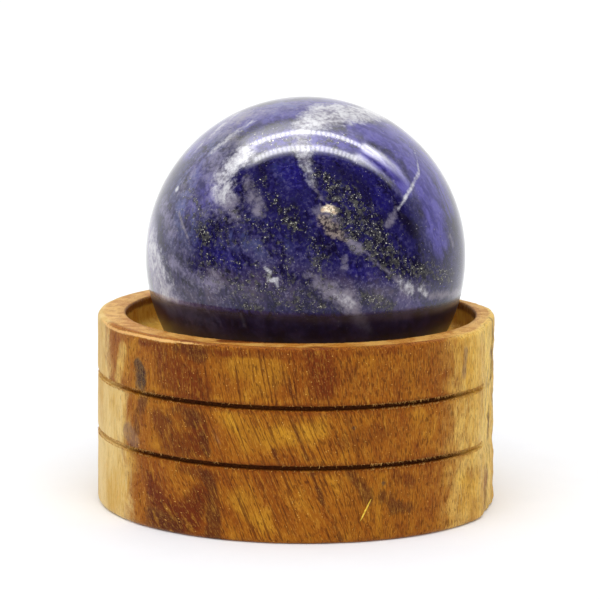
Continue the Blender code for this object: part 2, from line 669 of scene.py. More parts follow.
@dataclass(frozen=True)
class LapisFinish:
    """The polished stone: grainy blue with calcite clouds, brown inclusions and pyrite flecks, a painted
    sheen on its top and right and painted shade at its foot.
    """

    gain: float = 1.1
    streak_stretch: float = 2.3
    polish: float = 0.07
    sprinkle: float = 0.05
    warm_from: float = 46.0
    warm_to: float = 39.0
    fleck_scales: tuple[tuple[float, float], ...] = ((2.4, 0.2), (4.2, 0.3))

    def build(self) -> bpy.types.Material:
        """Makes the stone's material.

        Returns:
            The material.
        """
        material, g = start_material("polished_lapis")
        place = g.millimetres()
        bent = g.warped(place, 0.25, 2.4)
        flow = g.along(bent, STREAK_WAY, self.streak_stretch)
        n = StoneNoises(place=place, cloud=g.noise(flow, 0.3, 5.0, 0.6, 0.5),
                        patch=g.noise(flow, 0.95, 4.0, 0.62, 0.3),
                        billow=g.noise(bent, 0.75, 5.0, 0.64, 0.3),
                        grain=g.noise(place, 1.8, 3.0, 0.62), speck=g.noise(place, 5.0, 2.0, 0.6))
        colour = self.clouds(g, n, self.blues(g, n))
        colour, fleck = self.flecks(g, n, colour)
        self.surface(g, n, self.foot(g, n, colour), fleck)
        return material

    def shade(self, red: int, green: int, blue: int) -> Colour:
        """A screen colour as the stone's own."""
        return tone(red, green, blue, self.gain)

    def blues(self, g: Graph, n: StoneNoises) -> Socket:
        """Lays the blue ground with its bright, violet and near-black parts and its pale grains; on the top
        and right the violet is a painted sheen.

        Args:
            g: The material's nodes.
            n: The stone's noises.

        Returns:
            The ground's colour.
        """
        mottle = g.plus(g.about(n.patch, 1.8), g.about(n.grain, 0.9))
        drift = g.plus(g.about(n.cloud, 1.4), g.about(n.patch, 0.8))
        # grey haze, partly a painted reflection of the pale floor along the sphere's lower band
        haze = g.step(g.plus(g.mark(Inclusion.HAZE_AND_REFLECTION), drift), 0.0, 1.1)
        veined = g.plus(g.times(n.cloud, 0.5), g.times(n.patch, 0.5))
        colour = g.blend(g.step(veined, 0.38, 0.52), self.shade(15, 10, 40), self.shade(29, 24, 76))
        royal = g.step(g.plus(g.mark(Inclusion.ROYAL), mottle), 0.0, 1.2, 0.8)
        colour = g.blend(royal, colour, self.shade(26, 20, 98))
        pits = g.step(g.plus(g.times(n.grain, 0.7), g.times(n.speck, 0.3)), 0.49, 0.38, 0.66)
        colour = g.blend(pits, colour, self.shade(15, 10, 40))
        streams = g.plus(g.times(mottle, 0.36), g.about(n.cloud, 0.9))
        # violet tint, which on the top and right is a painted sheen
        violet_and_sheen = g.blend(g.step(veined, 0.42, 0.58), self.shade(52, 44, 118), self.shade(84, 76, 152))
        colour = g.stained(colour, violet_and_sheen, Inclusion.VIOLET_AND_SHEEN, streams, 0.0, 0.95, 0.94)
        low = g.step(g.add("SeparateXYZ", {0: n.place}).outputs[2], self.warm_from, self.warm_to)
        steel = g.blend(g.step(n.cloud, 0.42, 0.58), self.shade(100, 90, 126), self.shade(82, 90, 132))
        steel = g.blend(low, steel, self.shade(78, 68, 83))
        soft = g.step(veined, 0.41, 0.58, 0.95, 0.12)
        colour = g.blend(g.times(haze, soft, 0.8), colour, steel)
        coarse = g.times(g.step(n.grain, 0.5, 0.66), g.plus(0.12, g.times(haze, 0.4)))
        colour = g.blend(coarse, colour, self.shade(128, 122, 146))
        return g.stained(colour, self.shade(15, 10, 26), Inclusion.DARK, mottle, 0.1, 1.0, 0.9)

    def clouds(self, g: Graph, n: StoneNoises, colour: Socket) -> Socket:
        """Lays on the pale and grey minerals, frayed into the blue.

        Args:
            g: The material's nodes.
            n: The stone's noises.
            colour: The colour below.

        Returns:
            The colour with the clouds.
        """
        fray = g.plus(g.about(n.cloud, 1.0), g.about(n.billow, 1.5), g.about(n.grain, 0.9),
                      g.about(n.speck, 0.35))
        colour = g.stained(colour, self.shade(130, 124, 152), Inclusion.LILAC, fray, -0.1, 1.1, 0.84)
        colour = g.stained(colour, self.shade(122, 116, 130), Inclusion.GREY, fray, 0.0, 1.1, 0.86)
        earth = g.blend(g.step(n.grain, 0.4, 0.6), self.shade(50, 42, 46), self.shade(140, 126, 116))
        colour = g.stained(colour, earth, Inclusion.BROWN, fray, 0.0, 0.9, 0.88)
        thick = g.plus(g.times(n.cloud, 0.5), g.times(n.billow, 0.5), g.about(n.grain, 0.3))
        milk = g.blend(g.step(thick, 0.38, 0.6), self.shade(146, 142, 154), self.shade(200, 200, 204))
        colour = g.stained(colour, milk, Inclusion.CALCITE, fray, -0.05, 1.2, 0.96)
        butter = g.blend(g.step(n.grain, 0.4, 0.6), self.shade(184, 160, 134), self.shade(240, 226, 200))
        return g.stained(colour, butter, Inclusion.CREAM, g.times(fray, 0.6), 0.0, 0.9)

    def flecks(self, g: Graph, n: StoneNoises, colour: Socket) -> tuple[Socket, Socket]:
        """Lays on pyrite in two sizes, thick where the swarms are, on darkened ground.

        Args:
            g: The material's nodes.
            n: The stone's noises.
            colour: The colour below.

        Returns:
            The colour with the flecks, and how much of a fleck shows.
        """
        clump = g.noise(n.place, 1.0, 5.0, 0.72, 0.6)
        swarm = g.frayed(Inclusion.PYRITE, g.plus(g.about(clump, 4.2), g.about(n.grain, 1.2)), 0.3, 1.0)
        bent = g.warped(n.place, 5.0, 0.5)
        _, _, lump = g.cells(g.warped(n.place, 2.4, 0.8), 1.9)
        crystal = g.blend(g.step(g.plus(lump, g.about(n.grain, 1.0)), 0.35, 1.0),
                          self.shade(20, 18, 28), self.shade(76, 75, 64))
        colour = g.blend(g.times(swarm, 0.84), colour, crystal)
        total = None
        for scale, size in self.fleck_scales:
            gap, chance, draw = g.cells(bent, scale)
            wanted = g.maths("LESS_THAN", chance, g.plus(g.times(swarm, 0.6), self.sprinkle))
            reach = g.plus(g.times(draw, size), 0.04)
            near = g.step(g.maths("SUBTRACT", gap, reach), 0.07, -0.07)
            gold = g.blend(g.times(draw, draw), self.shade(84, 84, 72), self.shade(222, 218, 204))
            shine = g.blend(g.step(swarm, 0.0, 0.4), self.shade(136, 132, 142), gold)
            shown = g.times(near, wanted)
            colour = g.blend(shown, colour, shine)
            total = shown if total is None else g.maths("MAXIMUM", total, shown)
        return colour, total

    def foot(self, g: Graph, n: StoneNoises, colour: Socket) -> Socket:
        """Paints shade and a reflection of the dark wood on the deep ring below the rim, with the veins
        still faint in it.

        Args:
            g: The material's nodes.
            n: The stone's noises.
            colour: The colour below.

        Returns:
            The darkened colour.
        """
        foot = g.step(g.plus(g.mark(Inclusion.FOOT_SHADE_AND_REFLECTION), g.about(n.grain, 1.2)), 0.1, 0.95, 0.82)
        veins = g.step(g.plus(n.cloud, g.about(n.billow, 0.8)), 0.42, 0.66)
        # painted shade: near-black with a brown cast, the faint veins a little lighter
        dusk = g.blend(veins, self.shade(17, 11, 22), self.shade(34, 26, 44))
        return g.blend(foot, colour, dusk)

    def surface(self, g: Graph, n: StoneNoises, colour: Socket, fleck: Socket) -> None:
        """Makes the polished skin with its faint wipe marks and pits.

        Args:
            g: The material's nodes.
            n: The stone's noises.
            colour: The finished colour.
            fleck: How much of a pyrite fleck shows.
        """
        wipe = g.noise(g.scaled(n.place, (0.2, 0.2, 1.4)), 0.5, 3.0)
        rough = g.plus(self.polish, g.about(wipe, 0.03), g.times(fleck, 0.12),
                       g.times(g.mark(Inclusion.FOOT_SHADE_AND_REFLECTION), 0.22))
        relief = g.plus(g.times(n.grain, 0.3), g.times(fleck, -0.5))
        bump = g.add("Bump", {"Strength": 0.08, "Distance": 0.02 * MM, "Height": relief})
        g.finish({"Base Color": colour, "Roughness": rough, "Metallic": g.times(fleck, 0.25),
                  "Normal": bump.outputs[0], "IOR": 1.5})


@dataclass(frozen=True)
class WoodNoises:
    """The wood's place in its own grain and the noises of its finish, from broad to fine."""

    place: Socket
    broad: Socket
    blotch: Socket
    fibre: Socket
    hair: Socket
    grit: Socket


@dataclass(frozen=True)
class WoodFinish:
    """Waxed turned branch wood: fine upright grain, slanted streaks and blotches, burnt grooves with
    painted shade, a rubbed rim edge with a painted highlight, and painted light in the recess.
    """

    gain: float = 0.95
    sheen: float = 0.5

    def build(self) -> bpy.types.Material:
        """Makes the wood's material.

        Returns:
            The material.
        """
        material, g = start_material("waxed_branch_wood")
        place = g.add("Attribute", attribute_name="grain_place").outputs["Vector"]
        n = WoodNoises(place=place, broad=g.noise(g.scaled(place, (1.0, 1.0, 0.4)), 0.16, 3.0, 0.55),
                       blotch=g.noise(g.scaled(place, (1.0, 1.0, 0.62)), 0.36, 3.0, 0.55, 0.7),
                       fibre=g.noise(g.scaled(place, (1.0, 1.0, 0.14)), 2.6, 3.0, 0.62),
                       hair=g.noise(g.scaled(place, (1.0, 1.0, 0.2)), 7.0, 2.0, 0.6),
                       grit=g.noise(place, 5.0, 3.0, 0.65))
        colour, pore = self.grain(g, n, self.stains(g, n, self.ground(g, n)))
        self.surface(g, n, self.cuts(g, n, colour), pore)
        return material

    def shade(self, red: int, green: int, blue: int) -> Colour:
        """A screen colour as the wood's own."""
        return tone(red, green, blue, self.gain)

    def ground(self, g: Graph, n: WoodNoises) -> Socket:
        """Lays the golden heartwood that wanders between tan, gold and orange brown.

        Args:
            g: The material's nodes.
            n: The wood's noises.

        Returns:
            The ground's colour.
        """
        mix = g.plus(g.times(n.broad, 0.55), g.times(n.blotch, 0.35), g.times(n.fibre, 0.1))
        colour = g.blend(g.step(mix, 0.38, 0.5), self.shade(138, 70, 6), self.shade(157, 91, 12))
        colour = g.blend(g.step(mix, 0.5, 0.62), colour, self.shade(180, 118, 22))
        gold = g.step(g.plus(g.mark(WoodMark.GOLD), g.about(n.blotch, 1.0)), 0.05, 1.05)
        return g.blend(g.times(gold, 0.8), colour, self.shade(210, 156, 38))

    def stains(self, g: Graph, n: WoodNoises, colour: Socket) -> Socket:
        """Lays on the rust, purple and grey stains and the pale sapwood.

        Args:
            g: The material's nodes.
            n: The wood's noises.
            colour: The colour below.

        Returns:
            The stained colour.
        """
        wander = g.plus(g.about(n.blotch, 2.8), g.about(n.fibre, 0.5), g.about(n.grit, 0.8))
        rusty, mild = g.times(wander, 0.42), g.times(wander, 0.7)
        colour = g.stained(colour, self.shade(97, 31, 1), WoodMark.RUST, rusty, -0.05, 1.0, 0.93)
        bark = g.blend(g.step(g.plus(g.times(n.fibre, 0.5), g.times(n.broad, 0.5)), 0.4, 0.58),
                       self.shade(222, 173, 70), self.shade(252, 217, 120))
        bark = g.blend(g.step(g.plus(n.blotch, g.about(n.fibre, 0.6)), 0.57, 0.7, 0.45), bark,
                       self.shade(160, 100, 36))
        colour = g.stained(colour, bark, WoodMark.PALE, g.times(wander, 0.4), 0.0, 0.9, 0.92)
        cream = g.blend(g.step(g.plus(g.times(n.broad, 0.6), g.times(n.fibre, 0.4)), 0.4, 0.6),
                        self.shade(212, 168, 78), self.shade(234, 204, 134))
        colour = g.stained(colour, cream, WoodMark.SAPWOOD, g.times(wander, 0.55), 0.1, 0.9, 0.95)
        colour = g.stained(colour, self.shade(118, 50, 6), WoodMark.SCORCH, mild, 0.15, 1.0, 0.7)
        colour = g.stained(colour, self.shade(80, 34, 12), WoodMark.PURPLE, wander, 0.1, 1.0, 0.8)
        colour = g.stained(colour, self.shade(134, 102, 80), WoodMark.LILAC, mild, 0.05, 0.95, 0.74)
        slate = g.blend(g.step(g.plus(n.grit, g.about(n.blotch, 0.8)), 0.46, 0.66),
                        self.shade(28, 25, 32), self.shade(84, 71, 58))
        return g.stained(colour, slate, WoodMark.KNOT, wander, 0.0, 1.0, 0.9)

    def grain(self, g: Graph, n: WoodNoises, colour: Socket) -> tuple[Socket, Socket]:
        """Lays on fibres, dark pores, slanted streaks and bright specks.

        Args:
            g: The material's nodes.
            n: The wood's noises.
            colour: The colour below.

        Returns:
            The colour with the grain, and how much of a pore shows.
        """
        light = g.maths("MAXIMUM", g.mark(WoodMark.SAPWOOD), g.times(g.mark(WoodMark.PALE), 0.8))
        soft = g.maths("SUBTRACT", 1.0, g.times(light, 0.75))
        colour = g.blend(g.times(g.step(n.fibre, 0.52, 0.68, 0.38), soft), colour, self.shade(104, 50, 6))
        colour = g.blend(g.times(g.step(n.fibre, 0.46, 0.32, 0.3), soft), colour, self.shade(206, 148, 44))
        colour = g.blend(g.times(g.step(n.hair, 0.52, 0.66, 0.38), soft), colour, self.shade(98, 46, 8))
        colour = g.blend(g.times(g.step(n.hair, 0.45, 0.34, 0.24), soft), colour, self.shade(222, 168, 70))
        lines = g.noise(g.scaled(n.place, (1.0, 1.0, 0.045)), 3.0, 1.0, 0.5)
        streak = g.times(g.step(lines, 0.58, 0.64), g.mark(WoodMark.STREAK))
        colour = g.blend(g.times(streak, 0.66), colour, self.shade(90, 40, 6))
        thin = g.noise(g.scaled(n.place, (1.0, 1.0, 0.26)), 4.2, 1.0, 0.4)
        dense = g.plus(thin, g.times(g.mark(WoodMark.PORES), 0.05))
        pore = g.times(g.step(dense, 0.6, 0.69), soft)
        colour = g.blend(g.times(pore, 0.6), colour, self.shade(78, 34, 8))
        gap, chance, draw = g.cells(n.place, 2.6)
        dust = g.times(g.maths("LESS_THAN", chance, g.plus(0.14, g.times(g.mark(WoodMark.RUST), 0.2))),
                       g.step(gap, 0.26, 0.12), g.step(draw, 0.2, 0.9))
        return g.blend(g.times(dust, 0.75), colour, self.shade(240, 186, 92)), pore

    def cuts(self, g: Graph, n: WoodNoises, colour: Socket) -> Socket:
        """Lays on the rubbed rim edge with its painted highlight, the grooves' burn with painted shade, and
        painted light in the recess.

        Args:
            g: The material's nodes.
            n: The wood's noises.
            colour: The colour below.

        Returns:
            The finished colour.
        """
        rim = g.mark(WoodMark.RIM)
        end_grain = g.blend(g.step(g.plus(n.blotch, g.about(n.grit, 0.8)), 0.38, 0.6),
                            self.shade(186, 120, 42), self.shade(224, 176, 98))
        front = g.step(g.mark(WoodMark.RUST), 0.7, 0.1, 0.8)
        colour = g.blend(g.times(rim, front), colour, end_grain)
        # painted highlight and rubbed wear along the rim's outer edge
        wear = g.step(g.plus(g.mark(WoodMark.WEAR_AND_HIGHLIGHT), g.about(n.grit, 1.6), g.about(n.fibre, 0.8)), 0.2, 0.85)
        colour = g.blend(g.times(wear, 0.85), colour, self.shade(240, 190, 118))
        # painted light: the recess painted pale gold so it reads lit though the ball and wall shade it
        recess_light_fray = g.plus(g.about(n.blotch, 1.4), g.about(n.grit, 0.6))
        recess = g.step(g.plus(g.mark(WoodMark.RECESS), recess_light_fray), 0.1, 0.8)
        turned = g.plus(g.times(n.blotch, 0.4), g.times(n.grit, 0.25), g.times(n.fibre, 0.35))
        warm = g.blend(g.step(turned, 0.42, 0.6), self.shade(255, 206, 92), self.shade(226, 154, 52))
        colour = g.blend(g.times(recess, 0.88), colour, warm)
        # burn and painted shade on the groove floors
        groove = g.step(g.plus(g.mark(WoodMark.GROOVE), g.about(n.grit, 1.4)), 0.45, 1.05)
        return g.blend(g.times(groove, 0.9), colour, self.shade(60, 24, 6))

    def surface(self, g: Graph, n: WoodNoises, colour: Socket, pore: Socket) -> None:
        """Makes the waxed skin: satin, with open pores and raised fibres.

        Args:
            g: The material's nodes.
            n: The wood's noises.
            colour: The finished colour.
            pore: How much of a pore shows.
        """
        rough = g.plus(self.sheen, g.about(n.grit, 0.4), g.times(pore, 0.2),
                       g.times(g.mark(WoodMark.GROOVE), 0.3))
        relief = g.plus(g.times(n.fibre, 0.6), g.times(n.hair, 0.4), g.times(n.grit, 0.7),
                        g.times(pore, -0.7))
        bump = g.add("Bump", {"Strength": 0.7, "Distance": 0.09 * MM, "Height": relief})
        g.finish({"Base Color": colour, "Roughness": rough, "Normal": bump.outputs[0],
                  "IOR": 1.48, "Specular IOR Level": 0.14})


@dataclass(frozen=True)
class FibreFinish:
    """Loose wood fibre: a dry, pale strand."""

    name: str
    colour: Colour
    tip: Colour

    def build(self) -> bpy.types.Material:
        """Makes the fibre's material.

        Returns:
            The material.
        """
        material, g = start_material(self.name)
        place = g.millimetres()
        along = g.noise(g.scaled(place, (1.0, 1.0, 0.3)), 6.0, 3.0)
        colour = g.blend(g.step(along, 0.35, 0.65), self.colour, self.tip)
        bump = g.add("Bump", {"Strength": 0.4, "Distance": 0.03 * MM, "Height": along})
        rough = g.plus(0.5, g.about(along, 0.2))
        g.finish({"Base Color": colour, "Roughness": rough, "Normal": bump.outputs[0]})
        return material


# The stone's marks in the photograph, by kind: pixels right, pixels down and half width in
# millimetres at each point, then the strength and the width of the soft edge in millimetres.
STONE_TRACES = {
    Inclusion.CALCITE: (
        Trace("top_patch", ((312, 121, 2.2), (330, 113, 3.4), (352, 112, 3.2), (372, 113, 2.2)), 1.0, 1.7),
        Trace("top_vein", ((303, 125, 1.5), (301, 145, 1.1), (305, 160, 0.9)), 0.85, 1.2),
        Trace("vein_tail", ((305, 160, 0.9), (310, 176, 0.6)), 0.7, 1.1),
        Trace("vein_patch", ((308, 174, 0.4), (313, 182, 0.6)), 0.6, 0.8),
        Trace("diagonal_end", ((402, 282, 0.6), (410, 289, 0.8)), 0.62, 0.9),
        Trace("right_blob", ((421, 287, 0.5), (425, 294, 0.6)), 0.66, 0.8),
        Trace("low_cloud_core", ((338, 296, 0.5), (350, 305, 0.6)), 0.45, 1.0),
        Trace("curl", ((264, 267, 0.1), (270, 272, 0.2), (268, 280, 0.25), (276, 280, 0.4),
                       (278, 286, 0.15)), 0.75, 0.4),
        Trace("cloud_head", ((232, 164, 1.5), (241, 156, 1.8)), 0.95, 1.5),
        Trace("cloud_arm", ((232, 166, 1.4), (222, 178, 1.8), (226, 192, 1.6)), 0.6, 1.6),
        Trace("high_streak", ((194, 152, 0.2), (212, 134, 0.4), (238, 112, 0.4)), 0.62, 0.9),
        Trace("high_streak_low", ((212, 152, 0.3), (230, 136, 0.4), (252, 122, 0.3)), 0.55, 0.9),
        Trace("left_speck", ((177, 189, 0.4),), 0.8, 0.4),
        Trace("limb_frost", ((151, 244, 1.8), (157, 268, 2.6), (166, 292, 2.4)), 0.72, 2.4),
        Trace("right_vein", ((413, 146, 0.02), (417, 160, 0.08), (419, 172, 0.26), (411, 188, 0.26),
                             (398, 210, 0.2)), 0.72, 0.45),
    ),
    Inclusion.GREY: (
        Trace("vein_thread", ((313, 185, 0.3), (322, 200, 0.3)), 0.6, 0.5),
        Trace("seed_halo", ((320, 210, 0.9), (330, 214, 1.2), (337, 220, 0.9)), 0.75, 1.2),
        Trace("middle_grey", ((345, 237, 0.3), (354, 246, 0.9), (360, 249, 0.7)), 0.95, 0.7),
        Trace("diagonal", ((364, 250, 0.25), (375, 262, 0.35), (388, 272, 0.3), (398, 279, 0.6)), 0.7, 0.5),
        Trace("right_tail", ((430, 296, 0.5), (445, 295, 0.5), (458, 293, 0.8)), 0.9, 0.9),
        Trace("small_grey", ((344, 257, 0.4), (345, 267, 0.5)), 0.55, 0.7),
        Trace("low_cloud", ((318, 284, 0.8), (336, 294, 1.3), (348, 303, 1.4), (355, 312, 1.0)), 0.9, 1.4),
        Trace("low_cloud_tail", ((354, 312, 0.8), (362, 322, 0.7), (370, 330, 0.4)), 0.8, 0.9),
        Trace("low_smudge", ((307, 274, 0.5), (318, 281, 0.7)), 0.6, 0.9),
        Trace("low_nick", ((241, 314, 0.3), (245, 326, 0.35)), 0.7, 0.5),
        Trace("cloud_foot", ((226, 192, 1.5), (232, 206, 1.3), (236, 218, 0.9)), 0.75, 1.5),
        Trace("second_cloud", ((246, 180, 0.7), (252, 196, 1.1), (259, 212, 0.9)), 0.72, 1.2),
        Trace("cloud_rise", ((243, 150, 1.0), (228, 132, 1.3), (246, 114, 1.4)), 0.6, 2.0),
        Trace("left_thread", ((179, 212, 0.2), (183, 226, 0.25), (188, 238, 0.2)), 0.8, 0.4),
        Trace("olive_smudge", ((212, 274, 0.8), (220, 284, 0.8)), 0.6, 0.9),
        Trace("right_vein_end", ((398, 208, 0.3), (392, 218, 0.5), (388, 226, 0.5)), 0.7, 0.7),
        Trace("green_edge", ((450, 236, 0.5), (453, 245, 0.6)), 0.7, 0.8),
    ),
    Inclusion.CREAM: (
        Trace("seed", ((323, 210, 0.35), (328, 208, 0.55), (335, 211, 0.5)), 1.0, 0.65),
    ),
    Inclusion.BROWN: (
        Trace("seed_shadow", ((325, 221, 1.0), (335, 230, 1.1), (344, 239, 0.5)), 0.9, 1.0),
    ),
    Inclusion.LILAC: (
        Trace("cloud_veil", ((214, 158, 2.0), (216, 182, 2.2), (224, 208, 1.8)), 0.56, 2.0),
        Trace("high_left", ((208, 138, 1.8), (232, 120, 2.2), (262, 112, 1.6)), 0.6, 2.4),
        Trace("high_streak_top", ((246, 104, 0.3), (270, 100, 0.5), (296, 98, 0.4)), 0.7, 0.9),
        Trace("left_limb", ((150, 232, 2.5), (152, 256, 3.0), (158, 284, 3.0), (172, 304, 2.4)), 1.0, 1.8),
        Trace("left_rise", ((163, 205, 1.2), (171, 232, 1.2)), 0.6, 1.4),
        Trace("left_streaks", ((172, 262, 0.8), (190, 276, 0.8), (214, 284, 0.9)), 0.6, 1.2),
        Trace("left_low", ((168, 300, 1.8), (190, 316, 1.8), (212, 322, 1.0)), 0.7, 2.0),
        Trace("left_frost", ((200, 160, 2.0), (184, 186, 1.8), (205, 214, 1.4)), 0.26, 2.6),
    ),
    # Violet in the stone. On the top and right (high, between, top right, far right, lobe and right) it is
    # a painted sheen: the blue made paler where the light falls.
    Inclusion.VIOLET_AND_SHEEN: (
        Trace("high_violet", ((196, 146, 2.6), (222, 124, 3.4), (258, 114, 3.8), (300, 106, 3.6),
                              (340, 103, 2.6)), 0.95, 2.6),
        Trace("between_violet", ((262, 142, 1.8), (290, 138, 1.8), (330, 142, 1.8),
                                 (352, 140, 2.0)), 0.85, 2.0),
        Trace("left_violet", ((188, 206, 2.2), (206, 196, 2.4), (198, 166, 2.4)), 0.6, 2.6),
        Trace("top_right_violet", ((360, 128, 2.4), (388, 136, 3.2), (410, 156, 3.0)), 1.0, 2.0),
        Trace("far_right_violet", ((384, 124, 2.0), (410, 140, 2.4), (438, 172, 2.4),
                                   (449, 206, 1.6)), 1.0, 2.2),
        Trace("lobe_violet", ((368, 154, 1.6), (392, 168, 1.8), (404, 186, 1.4)), 0.9, 1.6),
        Trace("right_violet", ((388, 136, 2.2), (408, 152, 2.8), (424, 178, 3.0), (434, 210, 2.8),
                               (440, 240, 2.0)), 1.0, 2.2),
        Trace("low_violet", ((400, 300, 1.4), (430, 306, 1.2)), 0.4, 1.6),
    ),
    # Grey haze in the stone. The low band is partly a painted reflection of the pale floor, just above
    # where the wood shows in the polish.
    Inclusion.HAZE_AND_REFLECTION: (
        Trace("haze_left", ((206, 150, 3.5), (184, 190, 4.0), (174, 240, 4.4), (184, 280, 4.5)), 0.56, 4.0),
        Trace("haze_and_floor_reflection_low", ((190, 288, 3.6), (250, 288, 3.2), (330, 294, 2.6), (420, 292, 2.2)), 0.7, 3.2),
        Trace("haze_top", ((214, 132, 4.0), (250, 112, 4.0), (310, 104, 3.2), (350, 108, 3.0)), 0.6, 3.2),
        Trace("haze_middle", ((236, 232, 3.0), (262, 262, 3.4), (310, 276, 2.4)), 0.45, 3.2),
    ),
    Inclusion.ROYAL: (
        Trace("bright_field", ((278, 166, 0.8), (292, 172, 1.8), (298, 186, 0.8)), 0.9, 1.4),
        Trace("arc_field", ((318, 156, 0.8), (340, 158, 0.9), (358, 168, 1.1), (372, 182, 1.2)), 0.62, 1.4),
        Trace("flat_field", ((376, 192, 1.1), (382, 206, 1.2)), 1.0, 1.0),
        Trace("left_field", ((220, 256, 1.2), (234, 264, 1.4)), 0.9, 1.2),
        Trace("low_field", ((352, 270, 0.8), (372, 276, 1.0), (392, 286, 0.6)), 0.85, 1.2),
        Trace("swing_field", ((196, 245, 0.7), (205, 240, 0.6)), 0.6, 0.8),
    ),
    Inclusion.DARK: (
        Trace("right_dusk", ((444, 186, 1.0), (451, 210, 1.2), (455, 232, 0.8)), 0.42, 1.8),
        Trace("deep_right", ((402, 218, 1.0), (414, 230, 1.5)), 0.85, 1.4),
        Trace("edge_line", ((432, 170, 0.1), (444, 198, 0.2), (452, 218, 0.25),
                            (457, 236, 0.15)), 0.95, 0.5),
        Trace("deep_middle", ((300, 196, 1.2), (290, 214, 1.6), (305, 236, 1.4)), 0.5, 2.0),
        Trace("deep_left", ((262, 172, 1.2), (258, 196, 1.2), (272, 206, 1.0)), 0.55, 2.0),
        Trace("deep_core", ((340, 172, 1.6), (362, 186, 2.0), (384, 216, 1.6)), 0.5, 2.0),
    ),
    Inclusion.PYRITE: (
        Trace("swarm_left", ((200, 226, 1.0), (206, 239, 1.2)), 1.0, 0.9),
        Trace("swarm_left_low", ((203, 252, 0.9), (212, 261, 1.2)), 0.7, 0.9),
        Trace("swarm_curl", ((226, 272, 1.2), (238, 286, 1.4), (230, 296, 0.9)), 0.62, 1.0),
        Trace("swarm_row", ((245, 306, 0.6), (260, 307, 0.7)), 0.95, 0.5),
        Trace("swarm_vein", ((318, 173, 0.9), (326, 178, 1.0)), 0.8, 0.8),
        Trace("swarm_middle", ((330, 184, 1.6), (344, 196, 2.6), (356, 206, 2.2)), 0.8, 1.8),
        Trace("swarm_heart", ((345, 214, 2.4), (362, 226, 3.4), (374, 240, 2.8)), 0.85, 2.0),
        Trace("swarm_drop", ((375, 248, 2.6), (390, 260, 2.8), (402, 266, 1.8)), 0.8, 2.0),
        Trace("swarm_beside", ((278, 212, 1.2), (292, 220, 1.6), (302, 228, 1.0)), 0.8, 1.4),
        Trace("swarm_below", ((314, 244, 1.2), (320, 258, 1.4), (316, 270, 1.0)), 0.75, 1.4),
        Trace("swarm_right", ((402, 268, 1.2), (426, 272, 1.7), (450, 276, 1.2)), 0.75, 1.2),
        Trace("swarm_low", ((366, 296, 1.0), (378, 302, 1.4), (390, 306, 1.0)), 0.8, 1.0),
        Trace("swarm_low_row", ((274, 302, 0.6), (300, 305, 0.7), (324, 306, 0.6)), 0.7, 0.6),
        Trace("swarm_centre", ((285, 264, 1.2), (298, 290, 1.4)), 0.5, 1.2),
        Trace("swarm_high", ((262, 182, 1.2), (284, 214, 1.7)), 0.42, 1.6),
        Trace("swarm_cross", ((240, 238, 1.3), (262, 250, 1.3), (300, 234, 1.3)), 0.42, 1.4),
        Trace("swarm_olive", ((188, 180, 1.2), (190, 208, 1.3)), 0.42, 1.2),
        Trace("swarm_field", ((206, 262, 4.0), (256, 286, 4.0), (322, 298, 3.0)), 0.42, 3.0),
        Trace("swarm_field_left", ((192, 214, 3.0), (230, 232, 3.4), (270, 226, 3.2)), 0.42, 3.0),
        Trace("swarm_crown", ((240, 136, 1.6), (268, 142, 1.4), (350, 142, 1.4)), 0.5, 1.6),
        Trace("swarm_top", ((248, 132, 0.9), (262, 138, 0.7)), 0.55, 0.8),
    ),
}

